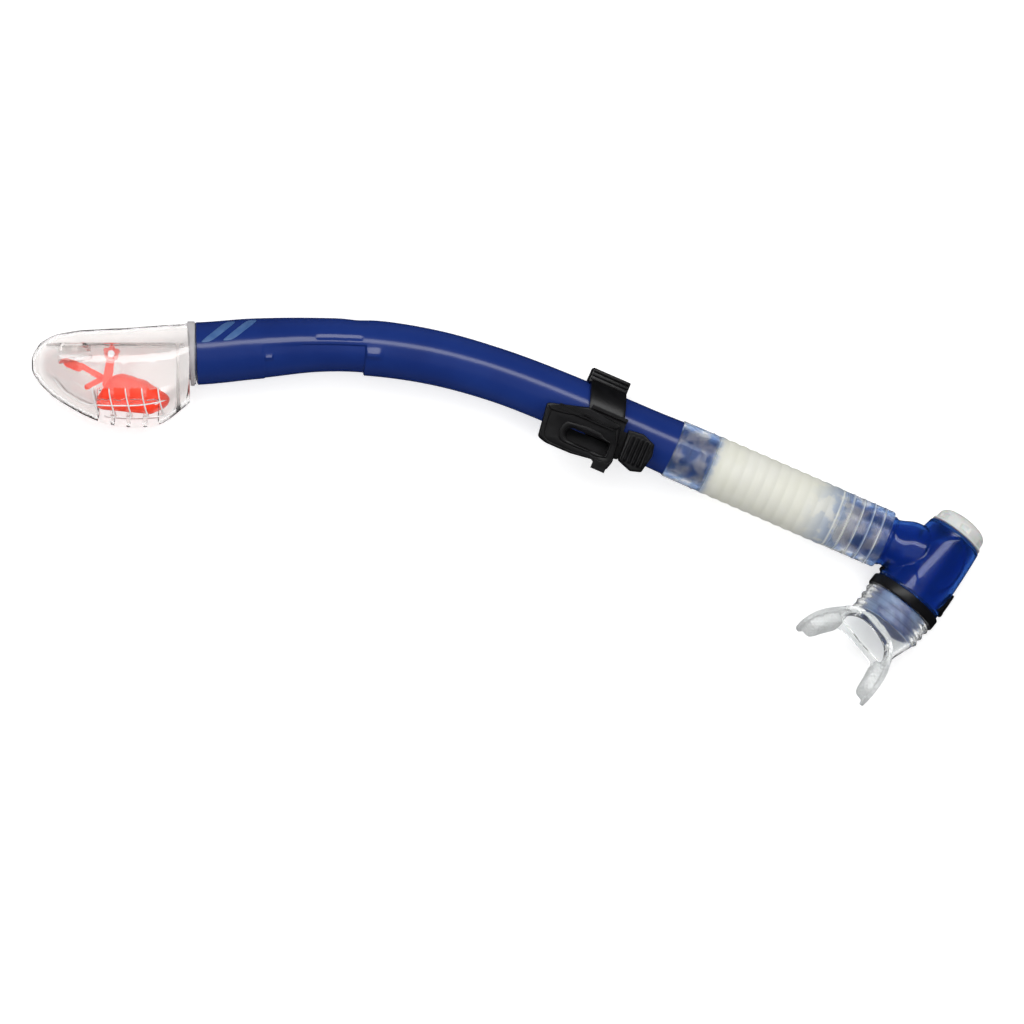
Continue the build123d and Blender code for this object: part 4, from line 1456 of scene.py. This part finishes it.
def make_lever():
    """Hub with three lobes, a stalk to the float, and crossed arms to the seal's holder."""
    axle = Line([*(PIVOT * MM), LIE], UP, (1, 0, 0))
    parts = [turned("hub", axle, rounded_section(1.12, 3.4, -5.6, 5.6, 0.5), 60)]
    for way in np.array([(-0.8, 0.6), (0.1, 1.0), (0.9, 0.44)]):
        parts.append(arm(PIVOT + 2.4 * way, PIVOT + 3.3 * way, 2.2, 5.5))
    parts.append(arm(PIVOT + (-0.4, -2.6), (-200.6, 64.2), 4.2, 2.7))
    parts.append(arm((-213.0, 73.2), (-201.4, 66.6), 2.9, 1.9))
    parts.append(arm((-210.2, 62.8), (-200.8, 68.0), 2.6, 1.9))
    parts.append(arm((-219.4, 74.6), (-214.4, 72.6), 4.4, 3.2))
    lever = joined("lever_arms", parts)
    smooth(lever.data, 40)
    return lever


finish_piece(make_lever(), "abs_orange", "orange_plastic", "float_arm", "float_lever")


# %% [markdown]
# ## Floor, light and camera
# The floor is a light table, so shadows stay faint. One broad soft light hangs overhead, and a
# long strip draws the bright line down the barrel: only the strip is seen in reflections. The
# camera looks down, a few degrees from the head's side.

# %% Floor and lights
FLOOR_HALF = 3.0
OVERHEAD_POWER, STRIP_POWER = 46, 9


def light_table(tree):
    """Matt white that glows a little."""
    return surface(tree, {"Roughness": 0.9, "Base Color": linear("#CFCFCF"), "Specular IOR Level": 0.0,
                          "Emission Color": (1, 1, 1, 1), "Emission Strength": 0.62}, {})


def make_floor():
    """Level square sheet under everything."""
    half = FLOOR_HALF
    grid = np.array([[(-half, -half, 0), (-half, half, 0)], [(half, -half, 0), (half, half, 0)]])
    floor = skin("floor", grid, wrap_columns=False)
    floor.data.materials.append(material("floor_acrylic", light_table))
    floor.visible_glossy = False


def area_light(name, at, target, size, power):
    """Soft rectangular light that faces a target."""
    light = bpy.data.lights.new(name, "AREA")
    light.shape = "RECTANGLE"
    light.size, light.size_y = size
    light.energy = power
    obj = bpy.data.objects.new(name, light)
    bpy.context.scene.collection.objects.link(obj)
    obj.location = at
    obj.rotation_mode = "QUATERNION"
    obj.rotation_quaternion = Vector(unit(np.subtract(target, at))).to_track_quat("-Z", "Y")
    return obj


make_floor()
overhead = area_light("overhead", (0.0, 0.1, 2.2), (0, 0, 0), (2.4, 2.4), OVERHEAD_POWER)
overhead.visible_glossy = False
area_light("strip", (0.0, 0.64, 1.15), (0, 0.05, 0.02), (2.0, 0.32), STRIP_POWER)
print("floor and", len(bpy.data.lights), "lights")


# %% [markdown]
# The world gives the fill. It is dimmer near the horizon, which keeps the sides of the tube dark.

# %% World
world = bpy.data.worlds.new("studio")
bpy.context.scene.world = world
world.use_nodes = True
sky = world.node_tree
sky_way = add(sky, "ShaderNodeTexCoord").outputs["Generated"]
sky_up = add(sky, "ShaderNodeSeparateXYZ", links={0: sky_way}).outputs["Z"]
fade = add(sky, "ShaderNodeMapRange", links={"Value": sky_up},
           values={"From Min": 0.0, "From Max": 0.7, "To Min": 0.28, "To Max": 0.95}).outputs["Result"]
sky.links.new(fade, sky.nodes["Background"].inputs["Strength"])
world.cycles_visibility.glossy = False
bpy.context.scene.view_settings.view_transform = "Standard"
print("world fades from 0.95 overhead to 0.28 at the horizon")


# %% [markdown]
# The lens follows from the view: the sensor's width times the distance, over the width seen.

# %% Camera
VIEW_FAR = 2.4             # camera to the middle
VIEW_WIDE = 0.5087         # what it takes in there
VIEW_SIDE = math.radians(3.5)  # how far it stands off to the head's side
AIM = (0.0001, 0.001)
camera_data = bpy.data.cameras.new("camera")
camera_data.sensor_width = 36.0
camera_data.lens = camera_data.sensor_width * VIEW_FAR / VIEW_WIDE
camera = bpy.data.objects.new("camera", camera_data)
bpy.context.scene.collection.objects.link(camera)
camera.location = (AIM[0] - VIEW_FAR * math.sin(VIEW_SIDE), AIM[1], LIE + VIEW_FAR * math.cos(VIEW_SIDE))
camera.rotation_euler = (0.0, -VIEW_SIDE, 0.0)
bpy.context.scene.camera = camera
print("lens", round(camera_data.lens, 1), "mm")
